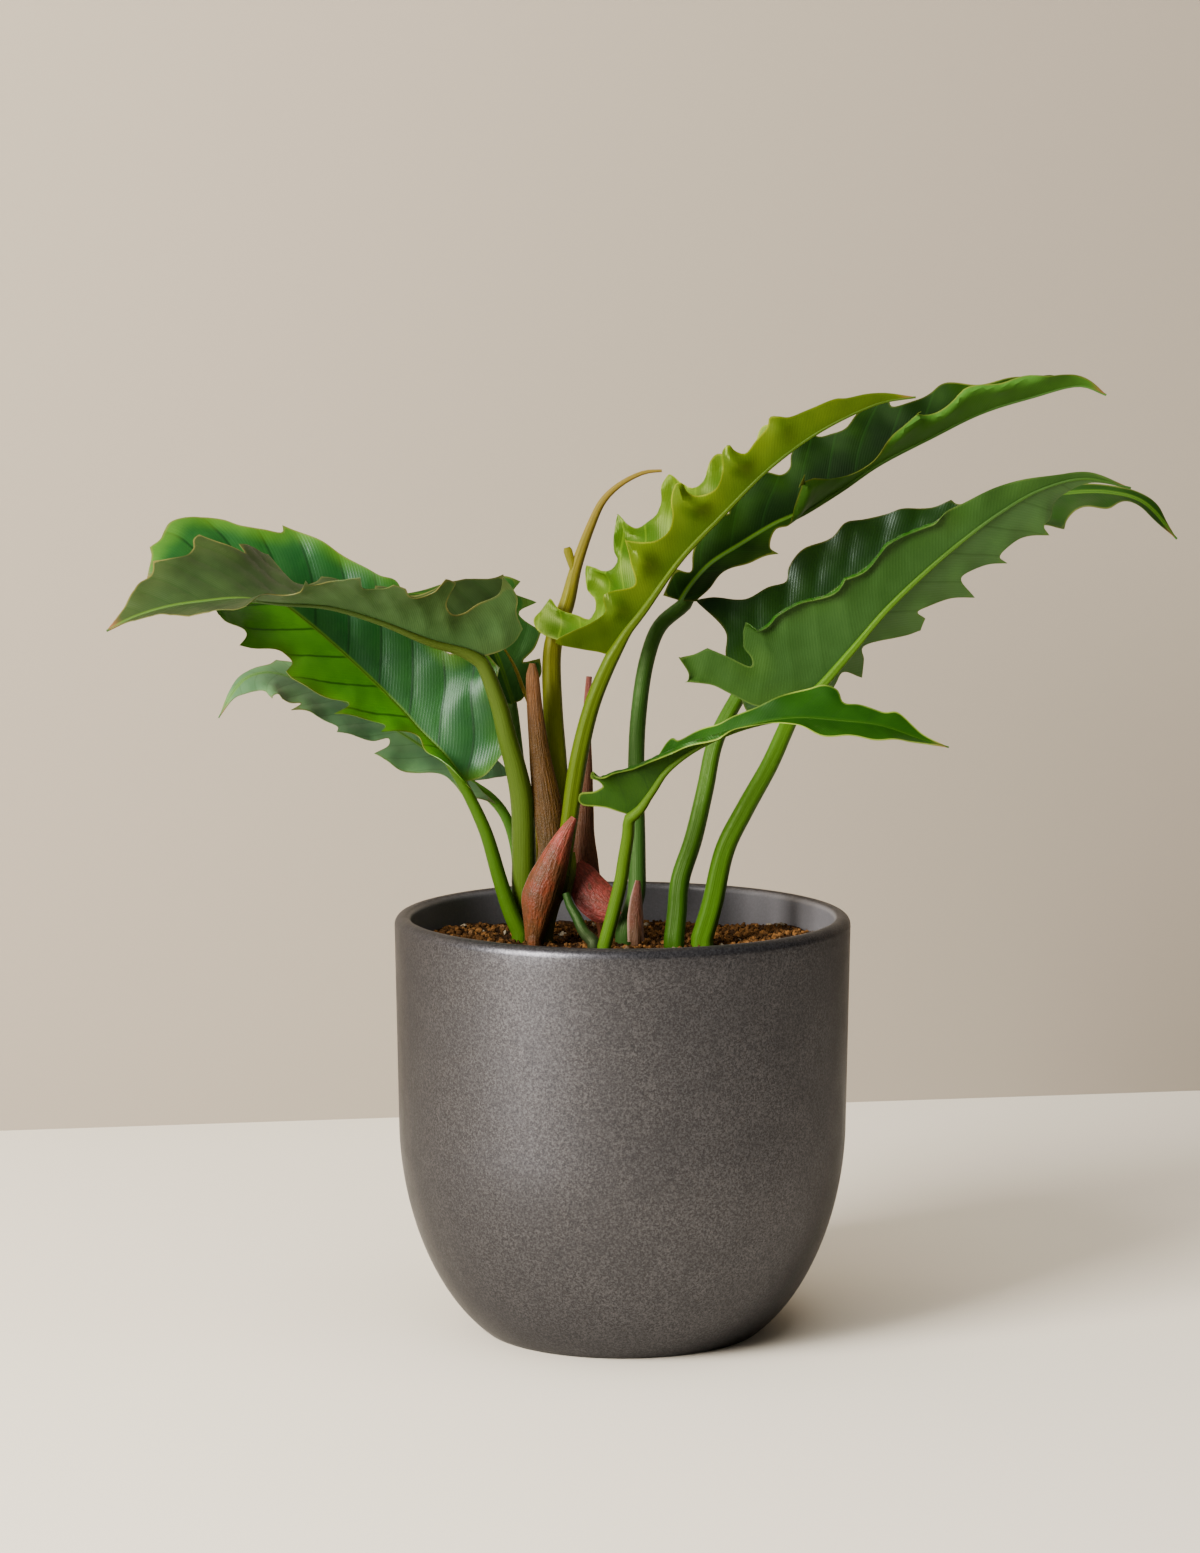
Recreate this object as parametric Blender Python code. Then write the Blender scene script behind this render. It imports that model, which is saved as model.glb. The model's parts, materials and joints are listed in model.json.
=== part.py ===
"""Potted philodendron: a stoneware pot filled with soil, and a young plant of ten leaves with its sheaths.

Sizes are in millimetres and are scaled to metres where a mesh is made. The origin is the centre of the
pot's flat base, +Z is up, and the plant fans out to the left (-X) and to the right (+X).
"""
import math

import bmesh
import bpy
import numpy as np
from mathutils import Vector
from mathutils.geometry import delaunay_2d_cdt

MM = 0.001

# Pot
POT_RADIUS = 100.0
POT_HEIGHT = 184.0
WALL_RADIUS = 98.5
WALL_END = 91.8
BELLY_CENTRE = 39.7
BELLY_POWER = 1.9
BELLY_ANGLE = math.radians(67.1)
LIP_ROUNDING = 4.1
WALL = 7.2
FLOOR = 11.0
POT_SIDES = 36

# Soil
SOIL_TOP = 167.0
SOIL_FOOT = 150.0
GAP = 0.3
POT_GAP = 0.46

# Blades, stalks and sheaths: the halves of a blade overlap inside the midrib
BLADE = 0.8
SHEATH_WALL = 1.3
SPACING = 12.0
OVERLAP = 0.6
STALK_SIDES = 6
ROUND_SIDES = 8
STALK_STEP = 13.0
RIB_STEP = 14.0
RIB_MIDDLE = 1.3
TIP_OVER = 0.4
TANGENT_REACH = 4.0
END_REACH = 3.0
SHARP_ANGLE = math.radians(40)
STRIP_ROWS = 10
STRIP_COLUMNS = 5
HOLE_SIDES = 12
RIB_TIP = 0.7

LEAVES = {
    "leaf_left_arching": {
        "colour": (0.10, 0.16, 0.05),
        "stalk": [(-38.5, 36.5), (-43.4, 33, 185), (-43.7, 29, 208), (-44.5, 25, 231), (-47.5, 22, 247),
                  (-50.5, 20, 258), (-55, 17, 276)],
        "radius": (5.6, 5.2, 3.2),
        "rib": [(-61, 14, 296), (-67, 12, 299), (-84, 6, 304), (-105, -3, 313), (-127, -11, 320),
                (-148, -18, 322), (-165, -22, 324), (-179, -25, 323), (-194, -28, 321),
                (-208, -30, 317), (-221, -31, 311)],
        "roll": [(0, -8), (0.3, 0), (0.55, 3), (0.7, 20), (1, 25)],
        "left_fold": [(0, 62), (0.12, 52), (0.3, 34), (0.5, 28), (0.57, 26), (0.66, 16), (1, 18)],
        "right_fold": [(0, 66), (0.12, 60), (0.3, 30), (0.5, 22), (0.65, 20), (1, 14)],
        "left": [(-5, 5), (-9, 12), (-9, 19), (-2, 25), (1, 31), (5, 35), (8, 38), (7, 29), (11, 23),
                 (16, 17), (21, 16), (29, 21), (31, 30), (32, 34), (39, 36), (39, 30), (40, 26),
                 (44, 23), (48, 23), (52, 28), (57, 28), (59, 24), (67, 22), (72, 32), (76, 28),
                 (80, 24), (88, 22), (93, 31), (92, 17), (97, 12), (104, 14), (110, 25), (116, 33),
                 (127, 31), (139, 25), (150, 15), (163, 4)],
        "right": [(-6, 14), (-8, 30), (1, 44), (5, 39), (11, 36), (14, 34), (34, 24), (50, 27),
                  (52, 20), (74, 26), (77, 21), (86, 18), (90, 28), (95, 43), (106, 42), (112, 38),
                  (110, 33), (117, 36), (125, 43), (128, 40), (129, 34), (134, 29), (141, 29),
                  (146, 31), (148, 23), (154, 19), (162, 9)],
    },
    "leaf_left_glossy": {
        "colour": (0.05, 0.20, 0.02),
        "stalk": [(-45.5, 26), (-49.5, 26, 180), (-54.4, 26, 195), (-61, 25.5, 217.5)],
        "radius": (3.8, 3.2, 2.4),
        "rib": [(-70, 25, 239), (-79, 26, 251), (-90, 28, 262), (-99, 29, 272), (-121, 32, 293),
                (-138, 33, 308), (-152, 32, 319), (-167, 29, 329), (-184, 24, 336), (-199, 18, 337),
                (-209, 12, 327)],
        "roll": [(0, 45), (0.15, 58), (0.6, 58), (0.8, 45), (1, 30)],
        "left_fold": [(0, 60), (0.08, 50), (0.18, 28), (0.6, 20), (1, 10)],
        "right_fold": [(0, 45), (0.1, 30), (0.3, 20), (0.6, 15), (1, 5)],
        "right_curl": [(0, 0), (0.6, 0), (0.8, 0.25), (1, 0.25)],
        "left": [(-4, 7), (1, 14), (8, 15), (20, 11), (29, 4), (41, 20), (42, 15), (54, 24), (61, 32),
                 (60, 21), (68, 26), (78, 31), (86, 33), (92, 32), (93, 25), (99, 25), (114, 36),
                 (125, 46), (123, 35), (134, 37), (150, 41), (156, 30), (170, 27), (177, 14), (182, 6)],
        "right": [(-3, 9), (0, 21), (7, 24), (13, 38), (17, 34), (24, 45), (43, 45), (45, 33), (48, 32),
                  (52, 32), (68, 42), (72, 36), (83, 40), (89, 37), (94, 36), (106, 34), (114, 34),
                  (123, 33), (129, 32), (128, 29), (134, 26), (142, 24), (148, 25), (160, 23),
                  (164, 21), (166, 17), (168, 13), (171, 12), (173, 7)],
    },
    "leaf_left_low": {
        "colour": (0.07, 0.17, 0.05),
        "stalk": [(-47, 41), (-47.2, 42, 184), (-47.1, 43, 201.5), (-49.8, 44, 215), (-53.4, 45, 223),
                  (-59.2, 46, 229.6)],
        "radius": (2.7, 2.4, 2.2),
        "rib": [(-67, 46, 237), (-77, 48, 243), (-95, 52, 255), (-118, 55, 268), (-140, 55, 279),
                (-158, 52, 285), (-168, 48, 283), (-174, 44, 277), (-180, 40, 266)],
        "roll": [(0, 10), (0.2, 25), (0.6, 22), (0.85, 15), (1, 10)],
        "left_fold": [(0, -10), (0.2, -8), (1, -5)],
        "right_fold": [(0, 20), (0.2, 15), (1, 10)],
        "left": [(-8, 4), (-15, 6), (-3, 14), (11, 8), (21, 15), (30, 20), (43, 20), (40, 11), (42, 7),
                 (47, 13), (58, 19), (64, 22), (65, 18), (74, 19), (86, 22), (91, 25), (87, 17),
                 (93, 20), (118, 21), (114, 15), (122, 8), (127, 3)],
        "right": [(-6, 8), (-12, 18), (0, 20), (14, 22), (24, 24), (26, 19), (44, 25), (46, 18),
                  (64, 23), (66, 16), (84, 19), (86, 12), (101, 12), (104, 7), (120, 3)],
    },
    "leaf_left_back": {
        "colour": (0.03, 0.13, 0.04),
        "stalk": [(-40, 56), (-42.9, 56, 190.5), (-44.6, 56, 227), (-46.8, 56, 250)],
        "radius": (3.0, 2.6, 2.0),
        "rib": [(-49, 56, 271), (-52, 57, 280), (-56, 58, 291), (-62, 58, 303), (-70, 57, 312),
                (-78, 55, 318), (-93, 52, 320), (-108, 49, 318)],
        "roll": [(0, 60), (0.5, 60), (1, 50)],
        "left_fold": [(0, 20), (1, 10)],
        "right_fold": [(0, 20), (1, 10)],
        "left": [(-4, 7), (-6, 16), (6, 20), (8, 15), (24, 23), (26, 17), (42, 21), (44, 14), (60, 15),
                 (62, 9), (76, 4)],
        "right": [(0, 4), (3, 8), (8, 16), (15, 18), (16, 10), (19, 17), (24, 23), (33, 18), (33, 28),
                  (39, 22), (40, 28), (45, 24), (48, 18), (54, 12), (61, 6), (70, 2)],
    },
    "leaf_new_ruffled": {
        "colour": (0.24, 0.33, 0.02),
        "stalk": [(-27, 18.5), (-25.6, 17.7, 208), (-23.4, 16.5, 223), (-21.2, 15, 239),
                  (-18.4, 14, 255), (-12.9, 13, 276)],
        "radius": (3.4, 4.0, 3.2),
        "stands": True,
        "rib": [(-7, 12, 297), (0, 11, 307), (8, 9, 317), (25, 6, 340), (44, 3, 360), (63, 0, 379),
                (83, -3, 394), (102, -5, 404), (113, -6, 408), (126, -8, 410)],
        "roll": [(0, 0), (1, 0)],
        "left_fold": [(0, 60), (0.15, 68), (0.7, 70), (1, 60)],
        "right_fold": [(0, 60), (0.15, 68), (0.7, 70), (1, 60)],
        "left": [(-6, 16), (-12, 36), (-9, 43), (3, 43), (2, 36), (5, 27), (8, 19), (12, 22), (13, 30),
                 (19, 39), (25, 29), (29, 26), (34, 25), (36, 29), (44, 36), (50, 39), (50, 31),
                 (51, 27), (55, 25), (59, 24), (63, 26), (68, 32), (75, 33), (77, 25), (79, 20),
                 (83, 19), (96, 22), (101, 14), (109, 12), (117, 17), (126, 12), (138, 10), (149, 7),
                 (162, 5)],
        "right": [(-1, 4), (-4, 12), (-7, 24), (1, 20), (8, 15), (15, 12), (20, 17), (25, 15), (33, 9),
                  (40, 17), (46, 25), (48, 21), (50, 17), (54, 13), (60, 12), (65, 15), (70, 21),
                  (76, 25), (79, 23), (78, 17), (80, 13), (87, 10), (95, 14), (100, 20), (104, 20),
                  (104, 16), (106, 12), (112, 13), (120, 15), (123, 18), (126, 16), (129, 13),
                  (138, 11), (149, 10), (153, 8), (162, 6)],
    },
    "leaf_right_back": {
        "colour": (0.03, 0.12, 0.02),
        "stalk": [(1, 25), (2.2, 26, 176), (6.2, 29, 188), (6.6, 31, 203), (6.2, 36, 239),
                  (7.1, 39, 265), (11.1, 42, 292), (16.9, 43, 307)],
        "radius": (4.2, 3.7, 3.3),
        "rib": [(26, 44, 318), (30, 45, 324), (39, 46, 334), (53, 47, 343), (68, 47, 352),
                (79, 46, 357), (97, 44, 368), (113, 42, 379), (136, 38, 391), (158, 34, 402),
                (180, 30, 409), (201, 26, 414), (212, 24, 410)],
        "roll": [(0, -20), (0.3, -22), (0.7, -22), (1, 0)],
        "left_fold": [(0, 45), (0.3, 50), (0.7, 45), (1, 20)],
        "right_fold": [(0, -12), (0.28, -8), (0.35, 42), (0.7, 50), (1, 40)],
        "left": [(-2, 8), (10, 10), (13, 4), (21, 11), (37, 17), (40, 15), (43, 19), (58, 25), (67, 20),
                 (73, 21), (77, 26), (91, 31), (92, 27), (98, 24), (104, 22), (111, 26), (119, 27),
                 (124, 25), (124, 21), (136, 19), (142, 19), (149, 20), (162, 14), (184, 13), (192, 11),
                 (196, 8), (205, 6)],
        "right": [(3, 8), (14, 11), (28, 11), (39, 16), (50, 22), (48, 15), (55, 4), (68, 18), (79, 35),
                  (83, 27), (91, 11), (105, 4), (125, 19), (137, 21), (141, 15), (157, 21), (165, 20),
                  (172, 17), (193, 12), (206, 6)],
    },
    "leaf_right_big": {
        "colour": (0.08, 0.19, 0.03),
        "stalk": [(35.3, 12.3), (39.6, 11, 186), (45.2, 10, 211), (53.9, 9, 229), (64.7, 7.5, 249),
                  (71.2, 6, 264)],
        "radius": (5.0, 4.3, 3.5),
        "rib": [(75, 5, 275), (83, 4, 281), (99, 2, 299), (114, 0, 317), (129, -2, 332), (146, -4, 347),
                (163, -6, 360), (180, -8, 370), (199, -9, 375), (219, -10, 371)],
        "roll": [(0, 62), (0.2, 68), (0.7, 68), (1, 50)],
        "left_fold": [(0, 25), (0.3, 18), (1, 10)],
        "right_fold": [(0, 20), (0.3, 14), (1, 10)],
        "left": [(0, 8), (8, 12), (19, 7), (25, 5), (28, 16), (35, 10), (39, 4), (46, 9), (56, 20),
                 (61, 23), (67, 19), (67, 13), (81, 21), (90, 29), (92, 15), (103, 19), (112, 25),
                 (111, 20), (114, 18), (123, 18), (137, 25), (137, 19), (143, 17), (147, 11), (159, 5),
                 (168, 2)],
        "right": [(-13, 9), (-20, 21), (-24, 28), (-33, 36), (-30, 38), (-29, 47), (-23, 44), (-16, 43),
                  (-11, 35), (-5, 25), (-3, 28), (-3, 34), (-1, 37), (1, 40), (5, 43), (20, 38),
                  (26, 38), (38, 34), (52, 25), (57, 26), (65, 22), (73, 23), (79, 24), (95, 19),
                  (112, 13), (126, 11), (137, 8), (152, 4), (166, 3)],
    },
    "leaf_right_far": {
        "colour": (0.04, 0.15, 0.05),
        "stalk": [(22.9, 12.3), (24.2, 15, 182), (25.6, 18, 196), (31.4, 22, 213.5), (36.7, 27, 235),
                  (41.7, 32, 257)],
        "radius": (4.6, 4.0, 3.4),
        "rib": [(52, 36, 279), (61, 38, 292), (79, 42, 310), (102, 45, 327), (124, 47, 341),
                (151, 48, 353), (177, 48, 362), (201, 46, 366), (217, 44, 366), (231, 42, 362),
                (246, 38, 346)],
        "roll": [(0, -50), (0.6, -50), (0.8, -45), (1, -30)],
        "left_fold": [(0, 25), (0.6, 20), (1, 10)],
        "right_fold": [(0, 20), (0.6, 15), (1, 5)],
        "left": [(4, 8), (10, 14), (16, 19), (18, 39), (23, 34), (31, 23), (41, 20), (48, 17), (52, 21),
                 (61, 24), (75, 21), (83, 23), (90, 20), (99, 17), (105, 16), (112, 13), (118, 11),
                 (126, 11), (128, 8), (150, 6), (166, 5), (191, 4), (205, 4), (215, 4), (222, 2)],
        "right": [(-6, 10), (-10, 22), (4, 24), (22, 28), (24, 21), (46, 31), (48, 22), (74, 32),
                  (76, 22), (102, 30), (104, 20), (130, 28), (132, 19), (158, 24), (162, 21), (172, 24),
                  (174, 18), (180, 12), (194, 11), (202, 4), (218, 4)],
    },
    "leaf_right_small": {
        "colour": (0.06, 0.18, 0.02),
        "stalk": [(-8, -10), (-3.3, -11, 189), (-0.7, -12, 200.5), (0.6, -13, 209.5), (2.3, -15, 220.7)],
        "radius": (3.1, 3.0, 2.6),
        "rib": [(2, -16, 230), (6, -18, 233), (12, -21, 241), (18, -24, 250), (29, -28, 259),
                (42, -31, 266), (56, -34, 271), (74, -36, 274), (93, -38, 273), (110, -39, 271),
                (128, -40, 265), (139, -41, 262)],
        "roll": [(0, 0), (0.3, -5), (0.5, -15), (1, -20)],
        "left_fold": [(0, 50), (0.3, 45), (0.6, 45), (1, 25)],
        "right_fold": [(0, 60), (0.2, 50), (0.35, 30), (0.5, 5), (0.7, -5), (1, 5)],
        "left": [(-4, 6), (-8, 14), (4, 14), (18, 13), (20, 10), (36, 12), (38, 9), (49, 8), (57, 6),
                 (64, 7), (75, 8), (85, 11), (95, 14), (101, 16), (107, 14), (110, 9), (117, 9),
                 (127, 7), (132, 9), (145, 3)],
        "right": [(-3, 4), (-6, 8), (-9, 13), (-12, 18), (-4, 14), (4, 17), (-2, 23), (16, 22),
                  (25, 14), (34, 11), (38, 10), (46, 9), (57, 7), (67, 4), (75, 3), (82, 4), (93, 10),
                  (104, 15), (115, 14), (127, 13), (146, 4)],
    },
}

# The crown, which the newest leaves and the tall sheath stand on
CROWN_PATH = [(-35.5, 22), (-34.8, 22.2, 178), (-33, 23, 187), (-31, 23.8, 193), (-30.5, 24, 195.5),
              (-30.5, 24, 198)]
CROWN_RADII = (5.0, 5.0, 5.4, 6.2, 7.8, 8.5, 8.5)
CROWN_TOP = 198.0
ROLLED_PATH = [(-28.5, 29.8), (-26.7, 31, 213), (-28.8, 33, 247), (-30.8, 34, 272), (-31, 35, 296),
               (-28.3, 35, 307), (-24.6, 35, 316), (-20.3, 35, 333), (-13.8, 35, 351), (-8.3, 35, 362),
               (0, 35, 368.5), (10, 35, 372.5), (16.7, 35, 373)]
ROLLED_RADII = (3.4, 3.5, 4.3, 4.4, 4.4, 4.1, 3.9, 3.5, 2.6, 2.0, 1.6, 1.2, 0.9, 0.6)
STUB_PATH = [(-12.5, -1.2), (-16.9, 4, 175), (-20, 7, 181), (-23.1, 10, 186), (-24.9, 12, 191)]
STUB_RADII = (3.0, 3.0, 2.6, 2.3, 2.0, 1.7)
SHOOT_PATH = [(-37, 46.5), (-38, 45, 190), (-38.5, 43, 230), (-39, 42, 255), (-40.7, 41, 268.5),
              (-42, 41, 274), (-44.2, 41, 279), (-46.9, 40.5, 286.5), (-49.5, 40, 292), (-53.1, 39, 298)]
SHOOT_RADII = (1.3, 1.3, 1.3, 1.2, 1.1, 1.0, 1.0, 0.9, 0.8, 0.6, 0.4)

# Sheaths. Each strip has a spine, half its width as seen against the share of the spine, the direction that
# it faces and the angle that each half turns back through. The foot runs from the soil or the crown.
SHEATHS = {
    "sheath_front": {
        "colour": (0.45, 0.10, 0.07),
        "strips": [{
            "spine": [(-39.5, 11, 169), (-38.1, 9, 177), (-36.8, 7.5, 186), (-34.5, 7, 194),
                      (-31, 7, 203), (-27.5, 8, 212), (-24, 9, 220), (-21.2, 10, 225)],
            "width": [(0, 3.3), (0.15, 5.6), (0.33, 8.4), (0.5, 7.7), (0.7, 5.6), (0.88, 3.0), (1, 1.0)],
            "face": (0, -1, 0),
            "turn": 75.0,
        }],
        "foot": [(-39.2, 12.5), (-38.8, 12, 174), (-37.8, 9.2, 182)],
        "foot_radii": (3.2, 3.2, 2.6, 1.2),
    },
    "sheath_tall": {
        "colour": (0.25, 0.12, 0.05),
        "strips": [{
            "spine": [(-33.2, 22.2, 201), (-31.8, 22, 209), (-32, 22, 215), (-33.2, 22, 228),
                      (-36.4, 22.5, 250), (-38.9, 23, 274), (-39.7, 23, 287), (-39.7, 23, 292)],
            "width": [(0, 4.4), (0.12, 4.7), (0.3, 5.4), (0.52, 3.8), (0.8, 3.1), (0.95, 2.7), (1, 1.6)],
            "face": (0, -1, 0),
            "turn": 50.0,
        }],
        "foot": [(-34.5, 23.2), (-33.4, 22.8, 206), (-32.2, 22.3, 212)],
        "foot_radii": (2.0, 2.0, 1.8, 1.0),
        "stands": True,
    },
    "sheath_back": {
        "colour": (0.32, 0.12, 0.09),
        "strips": [{
            "spine": [(-16.4, 27, 199), (-17, 27, 208), (-17.4, 27, 217), (-16.8, 27, 226),
                      (-16.1, 26.5, 240), (-15.9, 26, 258), (-15.4, 25.5, 275), (-14.7, 25, 286)],
            "width": [(0, 4.6), (0.1, 5.4), (0.25, 4.0), (0.4, 3.0), (0.7, 1.8), (1, 0.9)],
            "face": (0, -1, 0),
            "turn": 50.0,
        }, {
            "spine": [(-17.1, 23.1, 197.6), (-16.3, 21.9, 194.8), (-14.1, 20.5, 191.2),
                      (-10.3, 18.5, 187.2), (-5.5, 17.5, 184.6), (-0.5, 17.5, 184.2)],
            "width": [(0, 4.2), (0.2, 7.2), (0.5, 9.4), (0.75, 8.8), (0.9, 5.0), (1, 2.4)],
            "face": (0, -0.9, 0.4),
            "turn": 40.0,
        }],
        "foot": [(-8.5, 27), (-10, 24.5, 178), (-14, 21.8, 190), (-16.5, 26.4, 200), (-17, 27.5, 212)],
        "foot_radii": (2.3, 2.3, 2.2, 2.1, 1.6, 0.7),
    },
    "sheath_small": {
        "colour": (0.45, 0.16, 0.14),
        "strips": [{
            "spine": [(6.1, 14, 169), (5.8, 14, 177), (6, 14, 185.5), (6.5, 14, 192), (6.9, 14, 196.5)],
            "width": [(0, 3.4), (0.4, 3.2), (0.7, 2.3), (0.9, 1.3), (1, 0.7)],
            "face": (0, -1, 0),
            "turn": 60.0,
        }],
        "foot": [(6.2, 15.3), (6.1, 15.2, 174), (6.0, 14.6, 182)],
        "foot_radii": (2.4, 2.4, 2.0, 1.0),
    },
}


def smooth_path(points, steps=8):
    """Points of a centripetal Catmull-Rom curve through the given points."""
    knots = np.array(points, float)
    knots = np.vstack([2 * knots[0] - knots[1], knots, 2 * knots[-1] - knots[-2]])
    curve = []
    for i in range(1, len(knots) - 2):
        a, b, c, d = knots[i - 1 : i + 3]
        ta = 0.0
        tb = ta + math.sqrt(np.linalg.norm(b - a))
        tc = tb + math.sqrt(np.linalg.norm(c - b))
        td = tc + math.sqrt(np.linalg.norm(d - c))
        for t in np.linspace(tb, tc, steps, endpoint=False):
            ab = ((tb - t) * a + (t - ta) * b) / (tb - ta)
            bc = ((tc - t) * b + (t - tb) * c) / (tc - tb)
            cd = ((td - t) * c + (t - tc) * d) / (td - tc)
            abc = ((tc - t) * ab + (t - ta) * bc) / (tc - ta)
            bcd = ((td - t) * bc + (t - tb) * cd) / (td - tb)
            curve.append(((tc - t) * abc + (t - tb) * bcd) / (tc - tb))
    curve.append(knots[-2])
    return np.array(curve)


class Rib:
    """A smooth midrib that can be read at any distance along it, and a little beyond both ends."""

    def __init__(self, points):
        self.path = smooth_path(points)
        steps = np.linalg.norm(np.diff(self.path, axis=0), axis=1)
        self.distance = np.concatenate([[0.0], np.cumsum(steps)])
        self.length = self.distance[-1]
        self.start = (self.inside(END_REACH) - self.inside(0.0)) / END_REACH
        self.end = (self.inside(self.length) - self.inside(self.length - END_REACH)) / END_REACH

    def inside(self, along):
        return np.stack([np.interp(along, self.distance, self.path[:, k]) for k in range(3)], -1)

    def point(self, along):
        along = np.asarray(along, float)
        before = np.minimum(along, 0.0)[..., None] * self.start
        after = np.maximum(along - self.length, 0.0)[..., None] * self.end
        return self.inside(np.clip(along, 0.0, self.length)) + before + after

    def tangent(self, along):
        step = self.point(np.asarray(along) + TANGENT_REACH) - self.point(np.asarray(along) - TANGENT_REACH)
        return step / np.linalg.norm(step, axis=-1, keepdims=True)


def soft(keys, share):
    """A value keyed along the blade, rounded off at its keys."""
    at, value = np.array(keys, float).T
    spread = (-0.03, -0.015, 0.0, 0.015, 0.03)
    return sum(np.interp(np.asarray(share) + s, at, value) for s in spread) / len(spread)


def cross_frame(rib, along, roll):
    """The directions across the blade, to its right and out of its top face."""
    tangent = rib.tangent(along)
    up = np.array([0.0, 0.0, 1.0]) - tangent[..., 2:3] * tangent
    up /= np.linalg.norm(up, axis=-1, keepdims=True)
    right = np.cross(tangent, up)
    roll = np.radians(roll)[..., None]
    return np.cos(roll) * right + np.sin(roll) * up, np.cos(roll) * up - np.sin(roll) * right


def blade_point(rib, roll, fold, curl, side, along, out):
    """Points of a half blade: side is 1 for the right half and -1 for the left, curl is in degrees per mm."""
    along = np.asarray(along, float)
    out = np.asarray(out, float)
    share = along / rib.length
    right, top = cross_frame(rib, along, soft(roll, share))
    lean = np.radians(soft(fold, share))
    bend = np.radians(np.interp(share, *np.array(curl, float).T))
    bend = np.where(np.abs(bend) < 1e-5, 1e-5, bend)
    end = lean + bend * out
    across = (np.sin(end) - np.sin(lean)) / bend
    height = (np.cos(lean) - np.cos(end)) / bend
    return rib.point(along) + side * right * across[..., None] + top * height[..., None]


def flat_half(edge, length, spacing):
    """The flat half blade cut into triangles: its points as (along, out) and its triangles."""
    steps = int(length / spacing)
    inner = [(a, -OVERLAP) for a in np.linspace(length - 0.5, 0.0, steps)]
    loop = [(a, o) for a, o in edge] + inner
    points = [Vector(p) for p in loop]
    top = max(o for _, o in edge)
    low = min(a for a, _ in edge)
    for row, out in enumerate(np.arange(spacing * 0.55, top, spacing)):
        for along in np.arange(low + spacing * (0.5 + 0.5 * (row % 2)), length, spacing):
            if inside_loop(loop, along, out) and clear_of(loop, along, out, spacing * 0.45):
                points.append(Vector((along, out)))
    verts, _, faces, *_ = delaunay_2d_cdt(points, [], [list(range(len(loop)))], 1, 1e-4)
    return np.array([(v.x, v.y) for v in verts]), faces


def inside_loop(loop, x, y):
    """True if the point is inside the loop."""
    crossings = 0
    for (xa, ya), (xb, yb) in zip(loop, loop[1:] + loop[:1]):
        if (ya > y) != (yb > y) and x < xa + (y - ya) * (xb - xa) / (yb - ya):
            crossings += 1
    return crossings % 2 == 1


def clear_of(loop, x, y, distance):
    """True if no side of the loop comes nearer to the point than the distance."""
    start = np.array(loop)
    side = np.roll(start, -1, axis=0) - start
    point = np.array([x, y])
    share = np.clip(((point - start) * side).sum(1) / np.maximum((side**2).sum(1), 1e-9), 0.0, 1.0)
    nearest = start + share[:, None] * side
    return np.hypot(*(nearest - point).T).min() > distance


def collected(objects):
    """A collection of these objects, for a Boolean."""
    holder = bpy.data.collections.new("Operands")
    bpy.context.scene.collection.children.link(holder)
    for ob in objects:
        holder.objects.link(ob)
    return holder


def mesh_object(name, points, faces):
    """An object from points in millimetres."""
    mesh = bpy.data.meshes.new(name)
    mesh.from_pydata([tuple(float(v) * MM for v in p) for p in points], [], [tuple(f) for f in faces])
    mesh.validate()
    ob = bpy.data.objects.new(name, mesh)
    bpy.context.scene.collection.objects.link(ob)
    return ob


def faced_out(ob):
    """The closed object with its faces turned outwards."""
    bm = bmesh.new()
    bm.from_mesh(ob.data)
    bmesh.ops.remove_doubles(bm, verts=bm.verts, dist=1e-7)
    bmesh.ops.recalc_face_normals(bm, faces=bm.faces)
    bm.to_mesh(ob.data)
    bm.free()
    return ob


def baked(ob):
    """The object with its modifiers applied."""
    graph = bpy.context.evaluated_depsgraph_get()
    mesh = bpy.data.meshes.new_from_object(ob.evaluated_get(graph))
    ob.modifiers.clear()
    ob.data = mesh
    return ob


def solidified(ob, thickness):
    """A sheet of triangles made into a closed shell of even thickness."""
    shell = ob.modifiers.new("Thickness", "SOLIDIFY")
    shell.thickness = thickness * MM
    shell.offset = 0.0
    return faced_out(baked(ob))


def tube(name, path, radii, sides=STALK_SIDES):
    """A tapered round stalk along a path of points in millimetres, with closed ends."""
    path = np.asarray(path, float)
    tangents = np.gradient(path, axis=0)
    tangents /= np.linalg.norm(tangents, axis=1, keepdims=True)
    across = np.cross(tangents[0], (0.0, 1.0, 0.0))
    points = []
    for point, tangent, radius in zip(path, tangents, radii):
        across = across - (across @ tangent) * tangent
        across /= np.linalg.norm(across)
        other = np.cross(tangent, across)
        for k in range(sides):
            angle = 2.0 * math.pi * k / sides
            points.append(point + radius * (math.cos(angle) * across + math.sin(angle) * other))
    faces = [tuple(range(sides)), tuple(range(len(points) - sides, len(points)))]
    for ring in range(len(path) - 1):
        for k in range(sides):
            near = ring * sides
            after = (k + 1) % sides
            faces.append((near + k, near + after, near + sides + after, near + sides + k))
    return faced_out(mesh_object(name, points, faces))


def joined(base, others):
    """The union of the base with the other bodies, which are then removed."""
    holder = collected(others)
    union = base.modifiers.new("Union", "BOOLEAN")
    union.operation = "UNION"
    union.operand_type = "COLLECTION"
    union.collection = holder
    union.solver = "MANIFOLD"
    baked(base)
    for ob in others:
        bpy.data.objects.remove(ob)
    bpy.data.collections.remove(holder)
    return base


def material(name, colour, roughness, metallic):
    """A plain Principled material of this colour."""
    mat = bpy.data.materials.new(name)
    mat.use_nodes = True
    shader = mat.node_tree.nodes["Principled BSDF"]
    shader.inputs["Base Color"].default_value = (*colour, 1.0)
    shader.inputs["Roughness"].default_value = roughness
    shader.inputs["Metallic"].default_value = metallic
    return mat


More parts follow.
